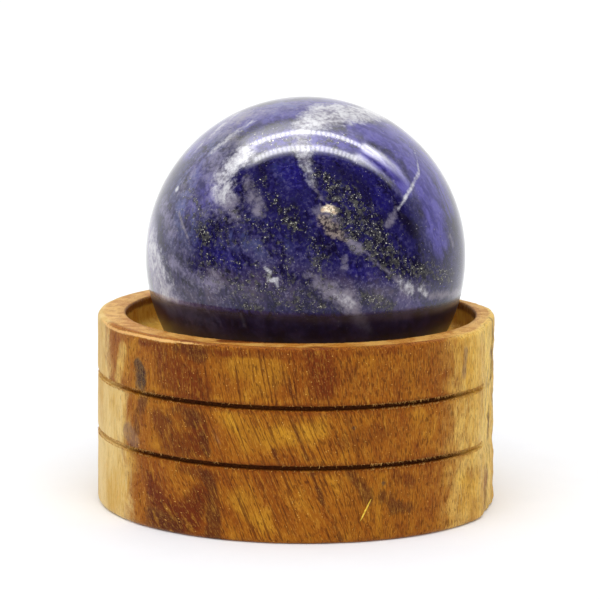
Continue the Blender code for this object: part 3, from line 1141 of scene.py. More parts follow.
# The wood's marks, in the same way. Those on the rim name it as their carrier.
WOOD_TRACES = {
    WoodMark.RUST: (
        Trace("rust_high", ((160, 350, 1.8), (172, 372, 3.2), (196, 388, 2.6)), 0.72, 3.0),
        Trace("rust_high_right", ((186, 350, 2.2), (212, 352, 1.4)), 0.6, 2.2),
        Trace("rust_line", ((140, 342, 0.5), (190, 351, 0.6), (245, 354, 0.5)), 0.7, 0.8),
        Trace("red_centre", ((318, 356, 2.2), (324, 384, 2.4)), 0.85, 2.8),
        Trace("rust_middle", ((158, 418, 1.6), (172, 440, 2.4), (196, 446, 2.0),
                              (200, 424, 1.6)), 0.8, 2.0),
        Trace("red_middle", ((336, 446, 1.2), (382, 432, 1.6)), 0.42, 2.2),
        Trace("rust_low", ((150, 478, 1.0), (160, 512, 2.4), (188, 520, 2.4), (200, 494, 1.8)), 0.85, 2.2),
        Trace("rust_low_high", ((182, 468, 0.8), (212, 478, 1.2)), 0.7, 1.2),
        Trace("red_low", ((396, 476, 1.2), (412, 482, 1.0)), 0.55, 1.4),
        Trace("rim_front", ((225, 341, 1.4), (300, 342, 1.5), (395, 338, 1.4)), 0.9, 1.6, Carrier.RIM),
    ),
    WoodMark.SCORCH: (
        Trace("red_band", ((225, 352, 0.8), (300, 355, 1.0), (395, 350, 0.8)), 0.95, 1.0),
        Trace("red_centre_low", ((312, 362, 1.6), (322, 384, 2.0), (352, 372, 1.4)), 0.8, 2.0),
        Trace("red_left", ((168, 366, 2.0), (190, 384, 2.0)), 0.7, 2.4),
    ),
    WoodMark.PURPLE: (
        Trace("plum_high", ((176, 348, 1.0), (206, 356, 1.1)), 0.7, 1.4),
        Trace("plum_middle", ((174, 416, 1.7), (190, 418, 1.6)), 0.95, 1.4),
        Trace("sap_border", ((143, 400, 1.0), (138, 418, 1.2), (137, 430, 0.7)), 0.85, 1.2),
        Trace("plum_band", ((206, 474, 0.7), (212, 488, 0.9), (214, 510, 1.1), (213, 538, 1.5)), 1.0, 1.0),
        Trace("plum_foot", ((150, 518, 1.5), (172, 528, 1.9)), 0.7, 1.6),
        Trace("plum_right", ((384, 496, 1.0), (394, 506, 1.1), (410, 508, 0.8)), 0.8, 1.2),
        Trace("mottle", ((352, 470, 0.8), (360, 486, 1.1), (368, 500, 0.9)), 0.75, 1.2),
        Trace("band_middle", ((291, 415, 0.2), (299, 438, 0.3), (308, 460, 0.3)), 0.9, 0.5),
        Trace("band_low", ((312, 473, 0.3), (322, 500, 0.4), (333, 520, 0.4), (341, 540, 0.4)), 0.9, 0.5),
        Trace("red_spot", ((274, 450, 0.3), (275, 455, 0.3)), 1.0, 0.4),
        Trace("knot_core", ((144, 372, 0.5), (145, 384, 0.5)), 1.0, 0.8),
        Trace("knot_middle", ((203, 436, 0.7), (208, 452, 0.7)), 0.9, 1.0),
    ),
    WoodMark.LILAC: (
        Trace("sap_smoke", ((128, 432, 1.4), (134, 442, 1.2)), 0.95, 1.2),
        Trace("pink_middle", ((214, 428, 0.7), (218, 440, 0.7)), 0.5, 1.2),
        Trace("lilac_right", ((466, 350, 0.7), (464, 376, 0.6)), 0.8, 1.0),
    ),
    WoodMark.KNOT: (
        Trace("knot_high", ((136, 363, 0.9), (141, 372, 1.5), (141, 382, 1.0)), 0.92, 2.2),
        Trace("spot_right", ((354, 428, 0.3),), 0.8, 0.4),
        Trace("spot_low", ((380, 459, 0.3),), 0.8, 0.4),
        Trace("spot_foot", ((384, 483, 0.3),), 0.9, 0.4),
    ),
    WoodMark.PALE: (
        Trace("pale_right", ((486, 334, 0.4), (488, 358, 0.5)), 0.9, 0.8),
        Trace("pale_foot", ((484, 500, 0.7), (486, 518, 0.6)), 0.8, 1.0),
        Trace("pale_left", ((122, 348, 1.4), (118, 378, 1.2)), 0.45, 1.4),
    ),
    WoodMark.GOLD: (
        Trace("gold_high", ((240, 366, 2.6), (272, 372, 2.4), (252, 392, 1.6)), 0.55, 3.0),
        Trace("gold_middle", ((232, 420, 1.6), (250, 440, 2.2), (320, 430, 1.6)), 0.5, 2.6),
        Trace("gold_right", ((478, 395, 1.2), (484, 425, 1.4)), 0.95, 1.6),
        Trace("gold_foot", ((462, 478, 1.4), (476, 490, 1.6)), 0.9, 2.0),
        Trace("gold_low", ((240, 500, 2.2), (262, 520, 2.0)), 0.45, 2.6),
    ),
    # The rim's outer edge: rubbed pale, and a painted highlight where the edge catches the lamps.
    WoodMark.WEAR_AND_HIGHLIGHT: (
        Trace("rubbed_edge_highlight", ((118, 331, 0.2), (160, 340, 0.28), (205, 344, 0.22),
                            (245, 346, 0.12)), 1.0, 0.35),
        Trace("rubbed_edge_highlight_left", ((101, 318, 0.2), (108, 326, 0.25), (118, 331, 0.25)), 0.8, 0.4),
        Trace("rubbed_edge_highlight_right", ((245, 346, 0.2), (330, 348, 0.2), (420, 342, 0.12)), 1.0, 0.35),
    ),
}

# The ends, in pixels, of the thin dark lines in the wood's front.
FINE_LINES = (
    ((278, 352), (283, 398)), ((286, 350), (292, 402)), ((261, 412), (283, 440)), ((270, 412), (278, 425)),
    ((285, 412), (300, 462)), ((238, 425), (255, 460)), ((276, 428), (290, 456)), ((241, 480), (255, 507)),
    ((262, 473), (275, 490)), ((284, 480), (302, 522)), ((290, 480), (309, 526)), ((297, 478), (316, 524)),
    ((303, 475), (325, 538)), ((331, 414), (334, 424)), ((268, 500), (282, 530)), ((248, 356), (251, 374)),
)


@dataclass
class StoneSphere:
    """The polished sphere: a ball of near-even squares, closest together on the photographed side."""

    sizes: Sizes
    camera: PhotoCamera
    squares: int = 126
    gather: float = 0.24
    hidden_marks: int = 90
    hidden_kinds: tuple[tuple[Inclusion, float, float], ...] = (
        (Inclusion.CALCITE, 0.5, 1.8), (Inclusion.HAZE_AND_REFLECTION, 3.0, 6.0), (Inclusion.PYRITE, 0.8, 2.6),
        (Inclusion.VIOLET_AND_SHEEN, 1.8, 4.5), (Inclusion.GREY, 0.4, 1.6), (Inclusion.HAZE_AND_REFLECTION, 2.5, 5.0),
        (Inclusion.PYRITE, 1.5, 3.4), (Inclusion.LILAC, 1.0, 2.6), (Inclusion.DARK, 0.8, 2.0))
    seed: int = 41
    waves: Ripples = Ripples(5, (7.0, 7.0, 7.0))
    wave_height: float = 0.004
    calcite_sink: float = 0.006
    soften: float = 1.8
    soft_from: float = 0.7
    shaded_top: float = 33.6
    shaded_blur: float = 1.2

    def grid(self) -> tuple[np.ndarray, list[list[int]]]:
        """Unit points and faces of a ball wrapped from a cube.

        Returns:
            The unit points, one a row, and the vertex numbers of each face.
        """
        n = self.squares
        bend = np.tan(np.linspace(-math.pi / 4, math.pi / 4, n + 1))
        across, up = np.meshgrid(bend, bend)
        ones = np.ones_like(across)
        sides = ((across, up, ones), (up, across, -ones), (up, ones, across),
                 (across, -ones, up), (ones, across, up), (-ones, up, across))
        points = np.vstack([np.stack([s.ravel() for s in side], 1) for side in sides])
        points /= np.linalg.norm(points, axis=1, keepdims=True)
        _, first, back = np.unique(np.round(points, 7), axis=0, return_index=True, return_inverse=True)
        corner = np.arange(n * (n + 1)).reshape(n, n + 1)[:, :-1].ravel()
        quad = np.stack([corner, corner + 1, corner + n + 2, corner + n + 1], 1)
        count = (n + 1) ** 2
        faces = np.vstack([quad + side * count for side in range(len(sides))])
        return points[first], np.ravel(back)[faces].tolist()

    def gathered(self, unit: np.ndarray) -> np.ndarray:
        """Draws unit points towards the camera, so that the side it sees has the finest squares.

        Args:
            unit: Unit points, one a row.

        Returns:
            The moved unit points.
        """
        pole = -self.camera.axes()[2]
        cosine = unit @ pole
        angle = np.arccos(np.clip(cosine, -1, 1))
        new = angle - self.gather * np.sin(angle)
        side = unit - cosine[:, None] * pole
        side /= np.maximum(np.linalg.norm(side, axis=1, keepdims=True), 1e-9)
        return np.cos(new)[:, None] * pole + np.sin(new)[:, None] * side

    def hidden(self, marks: Marks) -> None:
        """Marks the sides that the photograph doesn't show, streaming the same way as its front.

        Args:
            marks: The sphere's fields.
        """
        rng = np.random.default_rng(self.seed)
        toward = -self.camera.axes()[2]
        for number in range(self.hidden_marks):
            start = rng.normal(size=3)
            start /= np.linalg.norm(start)
            start -= toward * max(0.0, start @ toward + 0.15) * 1.6
            way = np.array(STREAK_WAY) + rng.normal(scale=0.25, size=3)
            steps = np.linspace(0, rng.uniform(0.15, 0.55), 8)[:, None]
            chain = start + steps * way
            chain /= np.linalg.norm(chain, axis=1, keepdims=True)
            chain = chain[chain @ toward < 0.02]
            if len(chain) == 0:
                continue
            kind, thin, wide = self.hidden_kinds[number % len(self.hidden_kinds)]
            widths = rng.uniform(thin, wide) * rng.uniform(0.5, 1.0, len(chain))
            anchors = self.sizes.centre + chain * self.sizes.sphere_radius
            marks.stroke(kind, anchors, widths, rng.uniform(0.5, 0.95), 1.0 + thin)

    def build(self, finish: LapisFinish) -> bpy.types.Object:
        """Makes the sphere, marks it and dresses it.

        Args:
            finish: The stone's finish.

        Returns:
            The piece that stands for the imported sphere.
        """
        unit, faces = self.grid()
        unit = self.gathered(unit)
        points = self.sizes.centre + unit * self.sizes.sphere_radius
        marks = Marks(self.camera, points)
        for kind, traces in STONE_TRACES.items():
            for mark in traces:
                blur = mark.blur * (self.soften if mark.blur >= self.soft_from else 1.0)
                marks.trace(kind, replace(mark, blur=blur, carrier=Carrier.BALL))
        self.hidden(marks)
        # painted shade: the sphere darkens below this height, where the stand shades it and its wood shows
        # in the polish
        marks.levels[Inclusion.FOOT_SHADE_AND_REFLECTION] = smooth((self.shaded_top - points[:, 2]) / self.shaded_blur + 0.5)
        uneven = self.wave_height * self.waves.at(points)
        pitted = -self.calcite_sink * smooth(marks.level(Inclusion.CALCITE))
        piece = make_piece("polished_sphere", points + unit * (uneven + pitted)[:, None], faces)
        marks.store(piece.data, Inclusion)
        piece.data.materials.append(finish.build())
        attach(piece, "root")
        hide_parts("lapis_sphere")
        return piece


class Role(Enum):
    """Where a ring of the stand lies, which says how the natural face moves it."""

    BASE = 0
    SKIN = 1
    CUT = 2
    RIM = 3
    BORE = 4


@dataclass(frozen=True)
class Ring:
    """One ring of the stand: its radius, height, part and the share of the recess's offset it takes."""

    radius: float
    height: float
    role: Role
    groove: float = 0.0
    share: float = 0.0


@dataclass
class TurnedStand:
    """The turned stand with its grooves, its recess and the branch's natural face."""

    sizes: Sizes
    camera: PhotoCamera
    segments: int = 640
    row_step: float = 0.29
    lip_round: float = 0.16
    groove_draft: float = 0.2
    fine_half: float = 98.0
    coarse_share: float = 0.5
    fibre_relief: float = 0.012
    skin_relief: float = 0.02
    natural_relief: float = 0.07
    natural_full: float = 0.9
    rim_relief: float = 0.012
    bore_relief: float = 0.02
    lip_fray: float = 0.035
    natural_fray: float = 0.06
    left_fray: float = 0.03
    rim_fray: float = 0.04
    side_shallow: float = 0.4
    # how far the groove's painted shade fades towards the sides
    side_bright: float = 0.75
    ragged: Ripples = Ripples(11, (0.9, 0.9, 0.9))
    chips: Ripples = Ripples(12, (0.35, 0.35, 2.0))
    bumps: Ripples = Ripples(13, (3.2, 3.2, 5.0))
    crags: Ripples = Ripples(14, (0.9, 0.9, 1.6))
    fibres: Ripples = Ripples(15, (0.5, 0.5, 9.0))
    waves: Ripples = Ripples(16, (6.0, 6.0, 9.0))
    slant_high: float = 0.2
    slant_low: float = 0.42
    fine_line_half: float = 0.02
    hidden_marks: int = 48
    hidden_arc: tuple[float, float] = (66.0, 248.0)
    hidden_kinds: tuple[tuple[WoodMark, float], ...] = (
        (WoodMark.RUST, 2.6), (WoodMark.GOLD, 3.0), (WoodMark.PURPLE, 0.7), (WoodMark.SCORCH, 1.8),
        (WoodMark.LILAC, 1.0), (WoodMark.KNOT, 0.6), (WoodMark.PURPLE, 0.3))
    seed: int = 23
    sap_border: tuple[tuple[float, float], ...] = (
        (0.0, -54.0), (11.0, -55.0), (12.0, -57.0), (20.0, -57.0), (21.2, -68.0), (30.0, -70.0))
    rings: list[Ring] = field(default_factory=list)

    def azimuths(self) -> np.ndarray:
        """Spaces the segments round the stand, finest on the photographed half.

        Returns:
            Their angles in degrees from the front towards the right.
        """
        sweep = np.linspace(-180.0, 180.0, 1441)
        fine = smooth((self.fine_half - np.abs(sweep)) / 20 + 0.5)
        weight = self.coarse_share + (1 - self.coarse_share) * fine
        summed = np.concatenate([[0.0], np.cumsum((weight[1:] + weight[:-1]) / 2)])
        even = np.linspace(0, summed[-1], self.segments, endpoint=False)
        return np.interp(even, summed, sweep)

    def rows(self, low: float, high: float) -> list[Ring]:
        """Makes rings of plain skin between two heights, both left out.

        Args:
            low: The lower height.
            high: The upper height.

        Returns:
            The rings in order.
        """
        count = max(1, round((high - low) / self.row_step))
        steps = [low + (high - low) * (i + 1) / (count + 1) for i in range(count)]
        return [Ring(self.sizes.stand_radius, z, Role.SKIN) for z in steps]

    def groove(self, low: float) -> list[Ring]:
        """Makes the rings of one groove.

        Args:
            low: The height of its lower lip.

        Returns:
            The rings from its lower lip to its upper one.
        """
        s = self.sizes
        radius, floor = s.stand_radius, s.stand_radius - s.groove_depth
        high = low + s.groove_width
        half = radius - s.groove_depth / 2
        drop = self.groove_draft
        soft = self.lip_round
        side = [(radius, low - soft, 0.05), (radius - soft * 0.3, low - soft * 0.3, 0.2),
                (radius - soft, low + soft * 0.3, 0.5), (half, low + drop * 0.8, 0.9),
                (floor, low + drop, 1.0)]
        middle = (low + high) / 2
        rings = [Ring(r, z, Role.CUT, level) for r, z, level in side]
        rings.append(Ring(floor, middle, Role.CUT, 1.0))
        rings += [Ring(r, 2 * middle - z, Role.CUT, level) for r, z, level in reversed(side)]
        return rings

    def arc(self, centre: tuple[float, float], radius: float, start: float, end: float,
            count: int, role: Role) -> list[Ring]:
        """Rings round a corner.

        Args:
            centre: The corner circle's distance from the axis and its height.
            radius: The circle's radius.
            start: The first angle in degrees, from straight out towards up.
            end: The last angle.
            count: How many rings, both ends included.
            role: The rings' part.

        Returns:
            The rings in order.
        """
        turns = np.radians(np.linspace(start, end, count))
        return [Ring(centre[0] + radius * math.cos(turn), centre[1] + radius * math.sin(turn), role)
                for turn in turns]

    def profile(self) -> list[Ring]:
        """Lists every ring.

        Returns:
            The rings from under the stand round the outside, over the rim and down to the seat.
        """
        s = self.sizes
        foot, head = s.bottom_edge_radius, s.top_edge_radius
        lower, upper = s.grooves
        rings = [Ring(r, 0.0, Role.BASE) for r in (8.0, 26.0, 29.5)]
        rings += self.arc((s.stand_radius - foot, foot), foot, -90, 0, 5, Role.SKIN)
        rings += self.rows(foot, lower - self.lip_round)
        rings += self.groove(lower)
        rings += self.rows(lower + s.groove_width + self.lip_round, upper - self.lip_round)
        rings += self.groove(upper)
        rings += self.rows(upper + s.groove_width + self.lip_round, s.stand_height - head)
        rings += self.arc((s.stand_radius - head, s.stand_height - head), head, 0, 90, 6, Role.SKIN)
        edge = s.stand_radius - head
        lip = s.recess_radius + s.recess_lip_chamfer
        for i in range(1, 9):
            rings.append(Ring(edge + (lip - edge) * i / 8, s.stand_height, Role.RIM, share=i / 8))
        rings += self.bore()
        return rings

    def bore(self) -> list[Ring]:
        """Lists the rings of the recess's wall and ledge, and of the seat under the sphere.

        Returns:
            The rings from the rim down to the seat.
        """
        s = self.sizes
        top, floor = s.stand_height - s.recess_lip_chamfer, s.stand_height - s.recess_depth
        foot = s.recess_foot_fillet
        rings = [Ring(s.recess_radius + 0.12, s.stand_height - 0.1, Role.BORE)]
        for i in range(10):
            rings.append(Ring(s.recess_radius, top + (floor + foot - top) * i / 9, Role.BORE))
        ledge = s.recess_radius - foot
        rings += self.arc((ledge, floor + foot), foot, -18, -90, 5, Role.BORE)
        drop = s.sphere_height - floor
        mouth = math.sqrt(s.seat_radius ** 2 - drop ** 2)
        rings.append(Ring(mouth, floor, Role.BORE, share=1.0))
        for i in range(1, 7):
            reach = mouth * (1 - i / 7)
            cup = s.sphere_height - math.sqrt(s.seat_radius ** 2 - reach ** 2)
            rings.append(Ring(reach, cup, Role.BORE, share=1.0))
        return rings

    def natural_depth(self, azimuth: np.ndarray) -> np.ndarray:
        """Works out how far the natural face lies below the turned one.

        Args:
            azimuth: Angles in degrees from the front towards the right.

        Returns:
            The depth at each angle.
        """
        angles, depths = zip(*self.sizes.natural_stations)
        depth = np.zeros_like(azimuth)
        for a, b, da, db in zip(angles[:-1], angles[1:], depths[:-1], depths[1:]):
            inside = (azimuth >= a) & (azimuth <= b)
            turn = (1 - np.cos(math.pi * (azimuth[inside] - a) / (b - a))) / 2
            depth[inside] = da + (db - da) * turn
        return depth

    def reach(self, ring: Ring, depth: np.ndarray, near: np.ndarray) -> np.ndarray:
        """Works out how far from the axis the outside lies at a ring's height.

        Args:
            ring: The ring.
            depth: How far the natural face is sunk at each segment.
            near: The ring's points on the plain turned skin.

        Returns:
            The distance at each segment.
        """
        s = self.sizes
        flare = np.minimum(depth, s.natural_flare * max(0.0, 1 - ring.height / s.bottom_tier))
        reach = s.stand_radius - (depth - flare)
        if ring.role in (Role.SKIN, Role.CUT):
            natural = smooth(depth / self.natural_full)
            rough = self.natural_relief * natural * (0.8 * self.bumps.at(near) + 0.35 * self.crags.at(near))
            reach = reach + rough + self.fibre_relief * self.fibres.at(near)
            reach = reach + self.skin_relief * self.waves.at(near)
        return reach

    def carved(self, ring: Ring, azimuth: np.ndarray, reach: np.ndarray,
               near: np.ndarray) -> tuple[np.ndarray, np.ndarray, np.ndarray]:
        """Carves one ring of a groove, ragged at the lips and shallower towards the sides, its burn and
        painted shade fading there too.

        Args:
            ring: The ring.
            azimuth: The segments' angles.
            reach: How far from the axis the outside lies at each segment.
            near: The ring's points on the plain turned skin.

        Returns:
            The radius, the height added and how much of the groove shows, at each segment.
        """
        s = self.sizes
        natural = smooth(self.natural_depth(azimuth) / self.natural_full)
        frayed = self.lip_fray + self.natural_fray * natural + self.left_fray * smooth((-azimuth - 52) / 20)
        lip = 1.0 if 0.05 < ring.groove < 0.9 else 0.3
        chips = self.chips.at(near)
        lift = lip * frayed * (0.7 * self.ragged.at(near) + 0.6 * chips)
        kept = 1 - self.side_shallow * smooth((np.abs(azimuth) - 40) / 40)
        bottom = s.stand_radius - (s.stand_radius - ring.radius) * kept
        radius = np.minimum(bottom + 0.02 * chips, reach)
        # painted shade: the groove's dark paint fades towards the sides, where side light reaches into it
        dark = 1 - self.side_bright * smooth((np.abs(azimuth) - 36) / 36)
        level = ring.groove * dark * smooth((reach - (s.stand_radius - s.groove_depth)) / 0.5)
        return radius, lift, level

    def surface(self) -> tuple[np.ndarray, np.ndarray, np.ndarray]:
        """Works out the rings' points.

        Returns:
            The points as rings x segments x 3, in millimetres, each vertex's angle in degrees
            and how much of the groove shows there.
        """
        s = self.sizes
        azimuth = self.azimuths()
        sine, cosine = np.sin(np.radians(azimuth)), np.cos(np.radians(azimuth))
        depth = self.natural_depth(azimuth)
        grid = np.zeros((len(self.rings), len(azimuth), 3))
        cut = np.zeros((len(self.rings), len(azimuth)))
        edge = np.zeros(len(azimuth))
        for i, ring in enumerate(self.rings):
            height = np.full(len(azimuth), ring.height)
            near = np.stack([s.stand_radius * sine, -s.stand_radius * cosine, height], 1)
            reach = self.reach(ring, depth, near)
            middle = np.zeros(2)
            if ring.role is Role.BASE:
                radius = ring.radius * (reach / s.stand_radius)
            elif ring.role is Role.SKIN:
                radius = ring.radius - s.stand_radius + reach
                edge = radius
            elif ring.role is Role.CUT:
                radius, lift, cut[i] = self.carved(ring, azimuth, reach, near)
                height = height + lift
            elif ring.role is Role.RIM:
                inner = s.recess_radius + s.recess_lip_chamfer
                frayed = self.rim_fray * ring.share * self.chips.at(near)
                radius = edge + (inner - edge) * ring.share + frayed
                inside = near * (radius / s.stand_radius)[:, None]
                height = height + self.rim_relief * self.ragged.at(inside)
                middle = np.full(2, s.recess_offset * ring.share)
            else:
                radius = ring.radius + self.bore_relief * self.fibres.at(near)
                start = np.full(2, s.recess_offset)
                middle = start + (np.array([s.sphere_offset_x, 0.0]) - start) * ring.share
            grid[i, :, 0] = middle[0] + radius * sine
            grid[i, :, 1] = middle[1] - radius * cosine
            grid[i, :, 2] = np.maximum(height, 0.0)
        return grid, azimuth, cut

    def faces(self) -> list[list[int]]:
        """Lists the stand's squares and the fans that close its two ends.

        Returns:
            The vertex numbers of each face.
        """
        rings, segments = len(self.rings), self.segments
        i, j = np.meshgrid(np.arange(rings - 1), np.arange(segments), indexing="ij")
        after = (j + 1) % segments
        quads = np.stack([i * segments + j, i * segments + after,
                          (i + 1) * segments + after, (i + 1) * segments + j], -1).reshape(-1, 4).tolist()
        under, seat = rings * segments, rings * segments + 1
        last = (rings - 1) * segments
        for k in range(segments):
            following = (k + 1) % segments
            quads.append([under, following, k])
            quads.append([last + k, last + following, seat])
        return quads

    def mark_up(self, marks: Marks, azimuth: np.ndarray, cut: np.ndarray) -> None:
        """Fills the fields that follow from a vertex's ring and angle.

        Args:
            marks: The stand's fields.
            azimuth: The segments' angles.
            cut: How much of the groove shows at each ring and segment.
        """
        rings, segments = len(self.rings), len(azimuth)
        role = np.array([ring.role.value for ring in self.rings])[:, None]
        height = np.array([ring.height for ring in self.rings])[:, None]
        share = np.array([ring.share for ring in self.rings])[:, None]
        around = np.broadcast_to(azimuth, (rings, segments))
        zs, borders = zip(*self.sap_border)
        border = np.interp(np.broadcast_to(height, (rings, segments)), zs, borders)
        sap = smooth((border - around) / 15 + 0.5) * smooth((around + 150) / 20 + 0.5)
        natural = np.broadcast_to(self.natural_depth(azimuth), (rings, segments))
        outer = (role <= Role.CUT.value) | ((role == Role.RIM.value) & (share < 0.75))
        side = 0.68 + 0.22 * smooth((height - self.sizes.grooves[1]) / 2)
        right = side * smooth((around - 48) / 26 + 0.5) * (around < 150)
        pale = np.maximum(0.95 * smooth(natural / 0.8), right)
        streak = smooth((around + 30) / 12 + 0.5) * smooth((16 - around) / 14 + 0.5)
        back = 0.5 * smooth((np.abs(around) - 120) / 20)
        streak = np.maximum(np.maximum(streak, back), 0.6 * smooth(natural))
        half = self.sizes.groove_width / 2
        gap = np.min([np.abs(height - low - half) for low in self.sizes.grooves], axis=0)
        burnt = smooth((1.5 - gap) / 1.3) * smooth((58 - np.abs(around)) / 24)
        ruddy = smooth((height - self.sizes.grooves[1] - 1) / 1.5) * smooth((62 - np.abs(around)) / 30)
        scorch = np.maximum(burnt, 0.5 * ruddy) * (role <= Role.CUT.value)
        pores = smooth((around + 4) / 24) * outer
        # painted light: the recess below the rim is marked for a paler golden colour
        recess = (role == Role.BORE.value) * smooth((self.sizes.stand_height - 0.8 - height) / 1.0)
        ends = (rings, segments)
        for kind, level in ((WoodMark.SAPWOOD, sap * outer), (WoodMark.PALE, pale * outer),
                            (WoodMark.STREAK, streak), (WoodMark.GROOVE, cut), (WoodMark.RECESS, recess),
                            (WoodMark.RIM, role == Role.RIM.value), (WoodMark.SCORCH, scorch),
                            (WoodMark.PORES, pores)):
            flat = np.concatenate([np.broadcast_to(level, ends).ravel(), [0.0, 0.0]])
            marks.levels[kind] = np.maximum(marks.level(kind), flat)

    def grain_place(self, points: np.ndarray) -> np.ndarray:
        """Works out where vertices lie in the branch's own grain, which leans on the front's left half.

        Args:
            points: The vertices in millimetres, one a row.

        Returns:
            The places in the grain, one a row.
        """
        around = np.degrees(np.arctan2(points[:, 0], -points[:, 1]))
        lean = smooth((around + 62) / 40) * smooth((38 - around) / 30)
        split = self.sizes.grooves[1]
        high = self.slant_high * (self.sizes.stand_height - np.maximum(points[:, 2], split))
        low = self.slant_low * np.maximum(0.0, split - points[:, 2])
        turn = -lean * (high + low) / self.sizes.stand_radius
        sine, cosine = np.sin(turn), np.cos(turn)
        x = points[:, 0] * cosine - points[:, 1] * sine
        y = points[:, 0] * sine + points[:, 1] * cosine
        return np.stack([x, y, points[:, 2]], 1)

    def hidden(self, marks: Marks) -> None:
        """Marks the sides that the photograph doesn't show with stains, knots and bands.

        Args:
            marks: The stand's fields.
        """
        rng = np.random.default_rng(self.seed)
        for number in range(self.hidden_marks):
            around = math.radians(rng.uniform(*self.hidden_arc))
            foot = rng.uniform(0, 22)
            heights = np.linspace(foot, foot + rng.uniform(2, 12), 5)
            angles = around + np.linspace(0, rng.uniform(-0.12, 0.12), 5)
            turned = (np.degrees(angles) + 180) % 360 - 180
            radius = self.sizes.stand_radius - self.natural_depth(turned)
            anchors = np.stack([radius * np.sin(angles), -radius * np.cos(angles), heights], 1)
            kind, spread = self.hidden_kinds[number % len(self.hidden_kinds)]
            size = spread * rng.uniform(0.5, 1.2)
            marks.stroke(kind, anchors, np.full(5, size), rng.uniform(0.5, 0.9), 1.6)

    def build(self, finish: WoodFinish) -> bpy.types.Object:
        """Makes the stand, marks it and dresses it.

        Args:
            finish: The wood's finish.

        Returns:
            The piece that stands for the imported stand.
        """
        self.rings = self.profile()
        grid, azimuth, cut = self.surface()
        s = self.sizes
        under = [0.0, 0.0, 0.0]
        seat = [s.sphere_offset_x, 0.0, s.sphere_height - s.seat_radius]
        points = np.vstack([grid.reshape(-1, 3), [under, seat]])
        marks = Marks(self.camera, points)
        for kind, traces in WOOD_TRACES.items():
            for mark in traces:
                marks.trace(kind, mark)
        for number, ends in enumerate(FINE_LINES):
            path = tuple((u, v, self.fine_line_half) for u, v in ends)
            marks.trace(WoodMark.PURPLE, Trace(f"line_{number}", path, 0.7, 0.3))
        self.hidden(marks)
        self.mark_up(marks, azimuth, cut)
        piece = make_piece("turned_stand", points, self.faces(), 42.0)
        marks.store(piece.data, WoodMark)
        place = piece.data.attributes.new("grain_place", "FLOAT_VECTOR", "POINT")
        place.data.foreach_set("vector", self.grain_place(points).astype(np.float32).ravel())
        piece.data.materials.append(finish.build())
        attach(piece, "root")
        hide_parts("wooden_stand")
        return piece


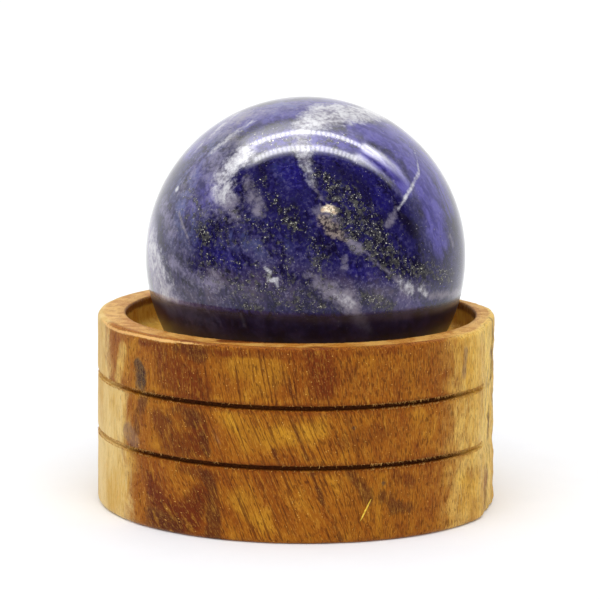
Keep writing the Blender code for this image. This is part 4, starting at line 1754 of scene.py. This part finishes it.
@dataclass
class LooseFibres:
    """The torn fibres on the grooves' lips and the one yellow strand on the bottom tier."""

    sizes: Sizes
    camera: PhotoCamera
    lip_count: int = 1300
    lip_sides: int = 3
    lip_seed: int = 7
    lip_arcs: tuple[tuple[float, float, float], ...] = (
        (0.3, -82.0, -44.0), (0.88, 20.0, 82.0), (1.0, -50.0, 30.0))
    strand: tuple[tuple[float, float], ...] = ((371, 499), (367, 507), (363, 515), (360, 521))
    strand_radius: float = 0.14
    strand_sides: int = 8

    def tube(self, path: np.ndarray, radii: Sequence[float], sides: int,
             base: int = 0) -> tuple[np.ndarray, list[list[int]]]:
        """A thin closed tube.

        Args:
            path: Its centre line in millimetres, one point a row.
            radii: Its radius at each point.
            sides: How many sides it has.
            base: The number of its first vertex.

        Returns:
            The tube's points and faces.
        """
        way = path[-1] - path[0]
        way = way / np.linalg.norm(way)
        across = np.cross(way, [0.3, 0.5, 0.8])
        across /= np.linalg.norm(across)
        other = np.cross(way, across)
        turns = np.arange(sides) * 2 * math.pi / sides
        rings = [p + r * (np.cos(turns)[:, None] * across + np.sin(turns)[:, None] * other)
                 for p, r in zip(path, radii)]
        faces = []
        for i in range(len(path) - 1):
            for j in range(sides):
                k = (j + 1) % sides
                low, high = base + i * sides, base + (i + 1) * sides
                faces.append([low + j, low + k, high + k, high + j])
        last = base + (len(path) - 1) * sides
        faces.append([base + j for j in reversed(range(sides))])
        faces.append([last + j for j in range(sides)])
        return np.vstack(rings), faces

    def torn(self, rng: np.random.Generator, stand: TurnedStand) -> tuple[np.ndarray, float] | None:
        """Draws one lip fibre.

        Args:
            rng: The source of the random draws.
            stand: The stand whose lips it stands on.

        Returns:
            Its root, middle and tip in millimetres and its radius, or None where the groove has run out.
        """
        s = self.sizes
        lips = [low + offset for low in s.grooves for offset in (-0.02, s.groove_width + 0.02)]
        drawn = rng.uniform()
        angle = next(rng.uniform(first, last) for share, first, last in self.lip_arcs if drawn < share)
        number = int(rng.integers(len(lips)))
        sunk = float(stand.natural_depth(np.array([angle]))[0])
        if sunk > s.groove_depth * 0.8:
            return None
        turn = math.radians(angle)
        out = np.array([math.sin(turn), -math.cos(turn), 0.0])
        along = np.array([math.cos(turn), math.sin(turn), 0.0])
        inward = 1.0 if number % 2 == 0 else -1.0
        root = out * (s.stand_radius - sunk - 0.06) + np.array([0.0, 0.0, lips[number] - 0.05 * inward])
        length = rng.uniform(0.15, 0.55)
        way = (out * rng.uniform(0.1, 0.7) + along * rng.uniform(-0.8, 0.8)
               + np.array([0.0, 0.0, inward * rng.uniform(0.5, 1.0)]))
        way *= length / np.linalg.norm(way)
        curl = along * rng.uniform(-0.08, 0.08)
        return np.array([root, root + way * 0.5 + curl, root + way]), rng.uniform(0.025, 0.06)

    def lips(self, finish: FibreFinish, stand: TurnedStand) -> bpy.types.Object:
        """The short torn fibres, thickest at the far left and right.

        Args:
            finish: The fibres' finish.
            stand: The stand whose lips they stand on.

        Returns:
            The piece with every lip fibre.
        """
        rng = np.random.default_rng(self.lip_seed)
        points, faces = [], []
        total = 0
        for _ in range(self.lip_count):
            drawn = self.torn(rng, stand)
            if drawn is None:
                continue
            path, thick = drawn
            tube, sides = self.tube(path, (thick, thick * 0.8, thick * 0.25), self.lip_sides, total)
            points.append(tube)
            faces += sides
            total += len(tube)
        piece = make_piece("groove_fibres", np.vstack(points), faces)
        piece.data.materials.append(finish.build())
        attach(piece, "root")
        return piece

    def lying(self, finish: FibreFinish) -> bpy.types.Object:
        """The yellow strand that lies on the bottom tier, a flat blade with tapered ends.

        Args:
            finish: The strand's finish.

        Returns:
            The piece.
        """
        anchors = self.camera.onto(Carrier.WALL, np.array(self.strand, float))
        share = np.linspace(0, 1, 9)
        places = np.linspace(0, 1, len(anchors))
        path = np.stack([np.interp(share, places, anchors[:, k]) for k in range(3)], 1)
        out = path * np.array([1.0, 1.0, 0.0])
        out /= np.linalg.norm(out, axis=1, keepdims=True)
        path = path + out * (0.05 + 0.05 * share[:, None])
        radii = self.strand_radius * np.sqrt(np.maximum(0.04, 1 - (2 * share - 1) ** 2))
        points, faces = self.tube(path, radii, self.strand_sides)
        piece = make_piece("yellow_strand", points, faces)
        piece.data.materials.append(finish.build())
        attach(piece, "root")
        return piece


@dataclass(frozen=True)
class Strip:
    """A row of small lamps, by how far behind and beside the sphere it lies per unit of height."""

    near: float
    far: float
    left: float
    right: float


@dataclass(frozen=True)
class Lobe:
    """A soft glow beside the lamps: where it starts, which way it runs and how it spreads and fades."""

    side: float
    back: float
    toward: float
    slope: float
    half: float
    level: float
    decay: float


@dataclass
class Studio:
    """A light tent: pale floor, white sides, open dark front, two rows of lamps and two soft glows."""

    floor_reach: float = 3.0
    strips: tuple[Strip, ...] = (Strip(0.01, 0.1, -0.55, 0.51), Strip(0.3, 0.385, -0.5, 0.55))
    beads: int = 24
    lamp_level: float = 15.0
    panel_level: float = 6.3
    lobes: tuple[Lobe, ...] = (Lobe(0.55, 0.35, 1.0, 0.2, 0.16, 29.0, 0.33),
                               Lobe(0.5, 0.08, 1.0, 0.03, 0.12, 18.0, 0.34),
                               Lobe(-0.5, 0.27, -1.0, -0.22, 0.2, 8.0, 0.9))
    fill_level: float = 0.68
    key_strength: float = 1.8
    key_way: tuple[float, float, float] = (-0.06, -0.62, 0.95)

    def floor(self) -> bpy.types.Object:
        """Lays the plain pale floor.

        Returns:
            The floor, which only the picture has.
        """
        reach = self.floor_reach / MM
        corners = reach * np.array([[-1, -1, 0], [1, -1, 0], [1, 1, 0], [-1, 1, 0]])
        piece = make_piece("studio_floor", corners, [[0, 1, 2, 3]])
        material, g = start_material("pale_floor")
        speck = g.noise(g.add("TexCoord").outputs["Object"], 90.0, 2.0)
        colour = g.blend(speck, tone(245, 246, 249), tone(249, 250, 253))
        g.finish({"Base Color": colour, "Roughness": 0.8, "Specular IOR Level": 0.1})
        piece.data.materials.append(material)
        piece.visible_glossy = False
        return piece

    def mirror_level(self, g: Graph) -> Socket:
        """Works out what a polished surface sees of the tent.

        Args:
            g: The world's nodes.

        Returns:
            The light's level in the looked-at direction.
        """
        way = g.add("SeparateXYZ", {0: g.add("TexCoord").outputs["Generated"]})
        x, y, z = way.outputs
        left = g.maths("MAXIMUM", g.times(x, -1.0), 0.0)
        edge = g.plus(y, g.times(z, z, -0.5), g.times(g.maths("ABSOLUTE", x), 0.1))
        rise = g.plus(g.times(z, z, 0.55), g.times(y, 0.75), 0.45)
        wall = g.times(rise, g.plus(g.times(left, 0.32), 1.0))
        bright = g.times(g.step(edge, -0.06, 0.2), wall)
        ground = g.times(g.step(z, -0.1, -0.3), g.plus(g.times(x, x, 0.8), 0.46))
        total = g.plus(g.maths("MAXIMUM", bright, ground), 0.015)
        over = g.maths("MAXIMUM", z, 0.05)
        back, side = g.maths("DIVIDE", y, over), g.maths("DIVIDE", x, over)
        middle = g.maths("ABSOLUTE", g.plus(side, 0.05))
        panel = g.times(g.step(back, -0.08, 0.03), g.step(back, 0.8, 0.35), g.step(middle, 0.7, 0.5),
                        g.step(side, 0.5, -0.25, self.panel_level, self.panel_level * 0.3))
        total = g.plus(total, panel)
        wisp = g.noise(g.add("CombineXYZ", {0: side, 1: g.times(back, 7.0)}).outputs[0], 3.0, 3.0)
        for strip in self.strips:
            total = g.plus(total, self.lamps(g, strip, side, back))
        for lobe in self.lobes:
            total = g.plus(total, self.glow(g, lobe, side, back, wisp))
        return total

    def lamps(self, g: Graph, strip: Strip, side: Socket, back: Socket) -> Socket:
        """Works out one row of small lamps, each a bead of light.

        Args:
            g: The world's nodes.
            strip: The row.
            side: How far to the right a unit of height looks.
            back: How far to the back it looks.

        Returns:
            The row's level.
        """
        soft = 0.02
        deep = g.times(g.step(back, strip.near - soft, strip.near + soft),
                       g.step(back, strip.far + soft, strip.far - soft))
        wide = g.times(g.step(side, strip.left - soft, strip.left + soft),
                       g.step(side, strip.right + soft, strip.right - soft))
        pitch = (strip.right - strip.left) / self.beads
        wave = g.maths("SINE", g.maths("DIVIDE", side, pitch / (2 * math.pi)))
        bead = g.step(wave, -0.9, 0.7, self.lamp_level, self.lamp_level * 0.4)
        return g.times(deep, wide, bead)

    def glow(self, g: Graph, lobe: Lobe, side: Socket, back: Socket, wisp: Socket) -> Socket:
        """Works out a streaky glow that runs on from the end of a lamp row and fades outward.

        Args:
            g: The world's nodes.
            lobe: The glow's place and spread.
            side: How far to the right a unit of height looks.
            back: How far to the back it looks.
            wisp: The noise that streaks it.

        Returns:
            The glow's level.
        """
        run = g.times(g.plus(side, -lobe.side), lobe.toward)
        line = g.maths("ABSOLUTE", g.plus(back, -lobe.back, g.times(run, -lobe.slope)))
        across = g.step(line, lobe.half, lobe.half * 0.15)
        fade = g.times(g.maths("EXPONENT", g.times(run, -1 / lobe.decay)), g.step(run, -0.05, 0.04))
        return g.times(across, fade, g.step(wisp, 0.38, 0.6, 1.0, 0.45), lobe.level)

    def surroundings(self) -> None:
        """Makes the world: white to the camera, even to dull surfaces, the tent to polished ones."""
        world = bpy.data.worlds.new("light_tent")
        world.use_nodes = True
        bpy.context.scene.world = world
        g = Graph(world.node_tree)
        path = g.add("LightPath").outputs
        mirror = g.add("Background", {"Color": (1.0, 1.0, 1.0, 1.0), "Strength": self.mirror_level(g)})
        even = g.add("Background", {"Color": (1.0, 1.0, 1.0, 1.0), "Strength": self.fill_level})
        plain = g.add("Background", {"Color": (1.0, 1.0, 1.0, 1.0), "Strength": 1.05})
        lit = g.add("MixShader", {0: path["Is Glossy Ray"], 1: even.outputs[0], 2: mirror.outputs[0]})
        shown = g.add("MixShader", {0: path["Is Camera Ray"], 1: lit.outputs[0], 2: plain.outputs[0]})
        g.feed(g.add("OutputWorld").inputs[0], shown.outputs[0])

    def key(self) -> bpy.types.Object:
        """Hangs a broad soft light above the front.

        Returns:
            The light.
        """
        data = bpy.data.lights.new("key_light", "SUN")
        data.energy = self.key_strength
        data.angle = math.radians(70)
        lamp = bpy.data.objects.new("key_light", data)
        bpy.context.scene.collection.objects.link(lamp)
        lamp.rotation_euler = Vector(self.key_way).to_track_quat("Z", "Y").to_euler()
        lamp.visible_glossy = False
        return lamp

    def build(self) -> None:
        """Sets up the floor, the world and the lamp."""
        self.floor()
        self.surroundings()
        self.key()
        bpy.context.scene.view_settings.view_transform = "Standard"


def main() -> None:
    """Builds the studio and the dressed pieces in order."""
    logging.basicConfig(level=logging.INFO, format="%(message)s")
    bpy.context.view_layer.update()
    camera = PhotoCamera()
    camera.build()
    Studio().build()
    sphere = StoneSphere(SIZES, camera).build(LapisFinish())
    log.info("sphere: %d faces", len(sphere.data.polygons))
    stand = TurnedStand(SIZES, camera)
    turned = stand.build(WoodFinish())
    log.info("stand: %d rings, %d faces", len(stand.rings), len(turned.data.polygons))
    fibres = LooseFibres(SIZES, camera)
    lips = fibres.lips(FibreFinish("torn_fibre", tone(168, 112, 44), tone(212, 162, 82)), stand)
    log.info("groove fibres: %d faces", len(lips.data.polygons))
    strand = fibres.lying(FibreFinish("yellow_fibre", tone(196, 150, 30), tone(240, 206, 70)))
    log.info("yellow strand: %d faces", len(strand.data.polygons))


if __name__ == "__main__":
    main()
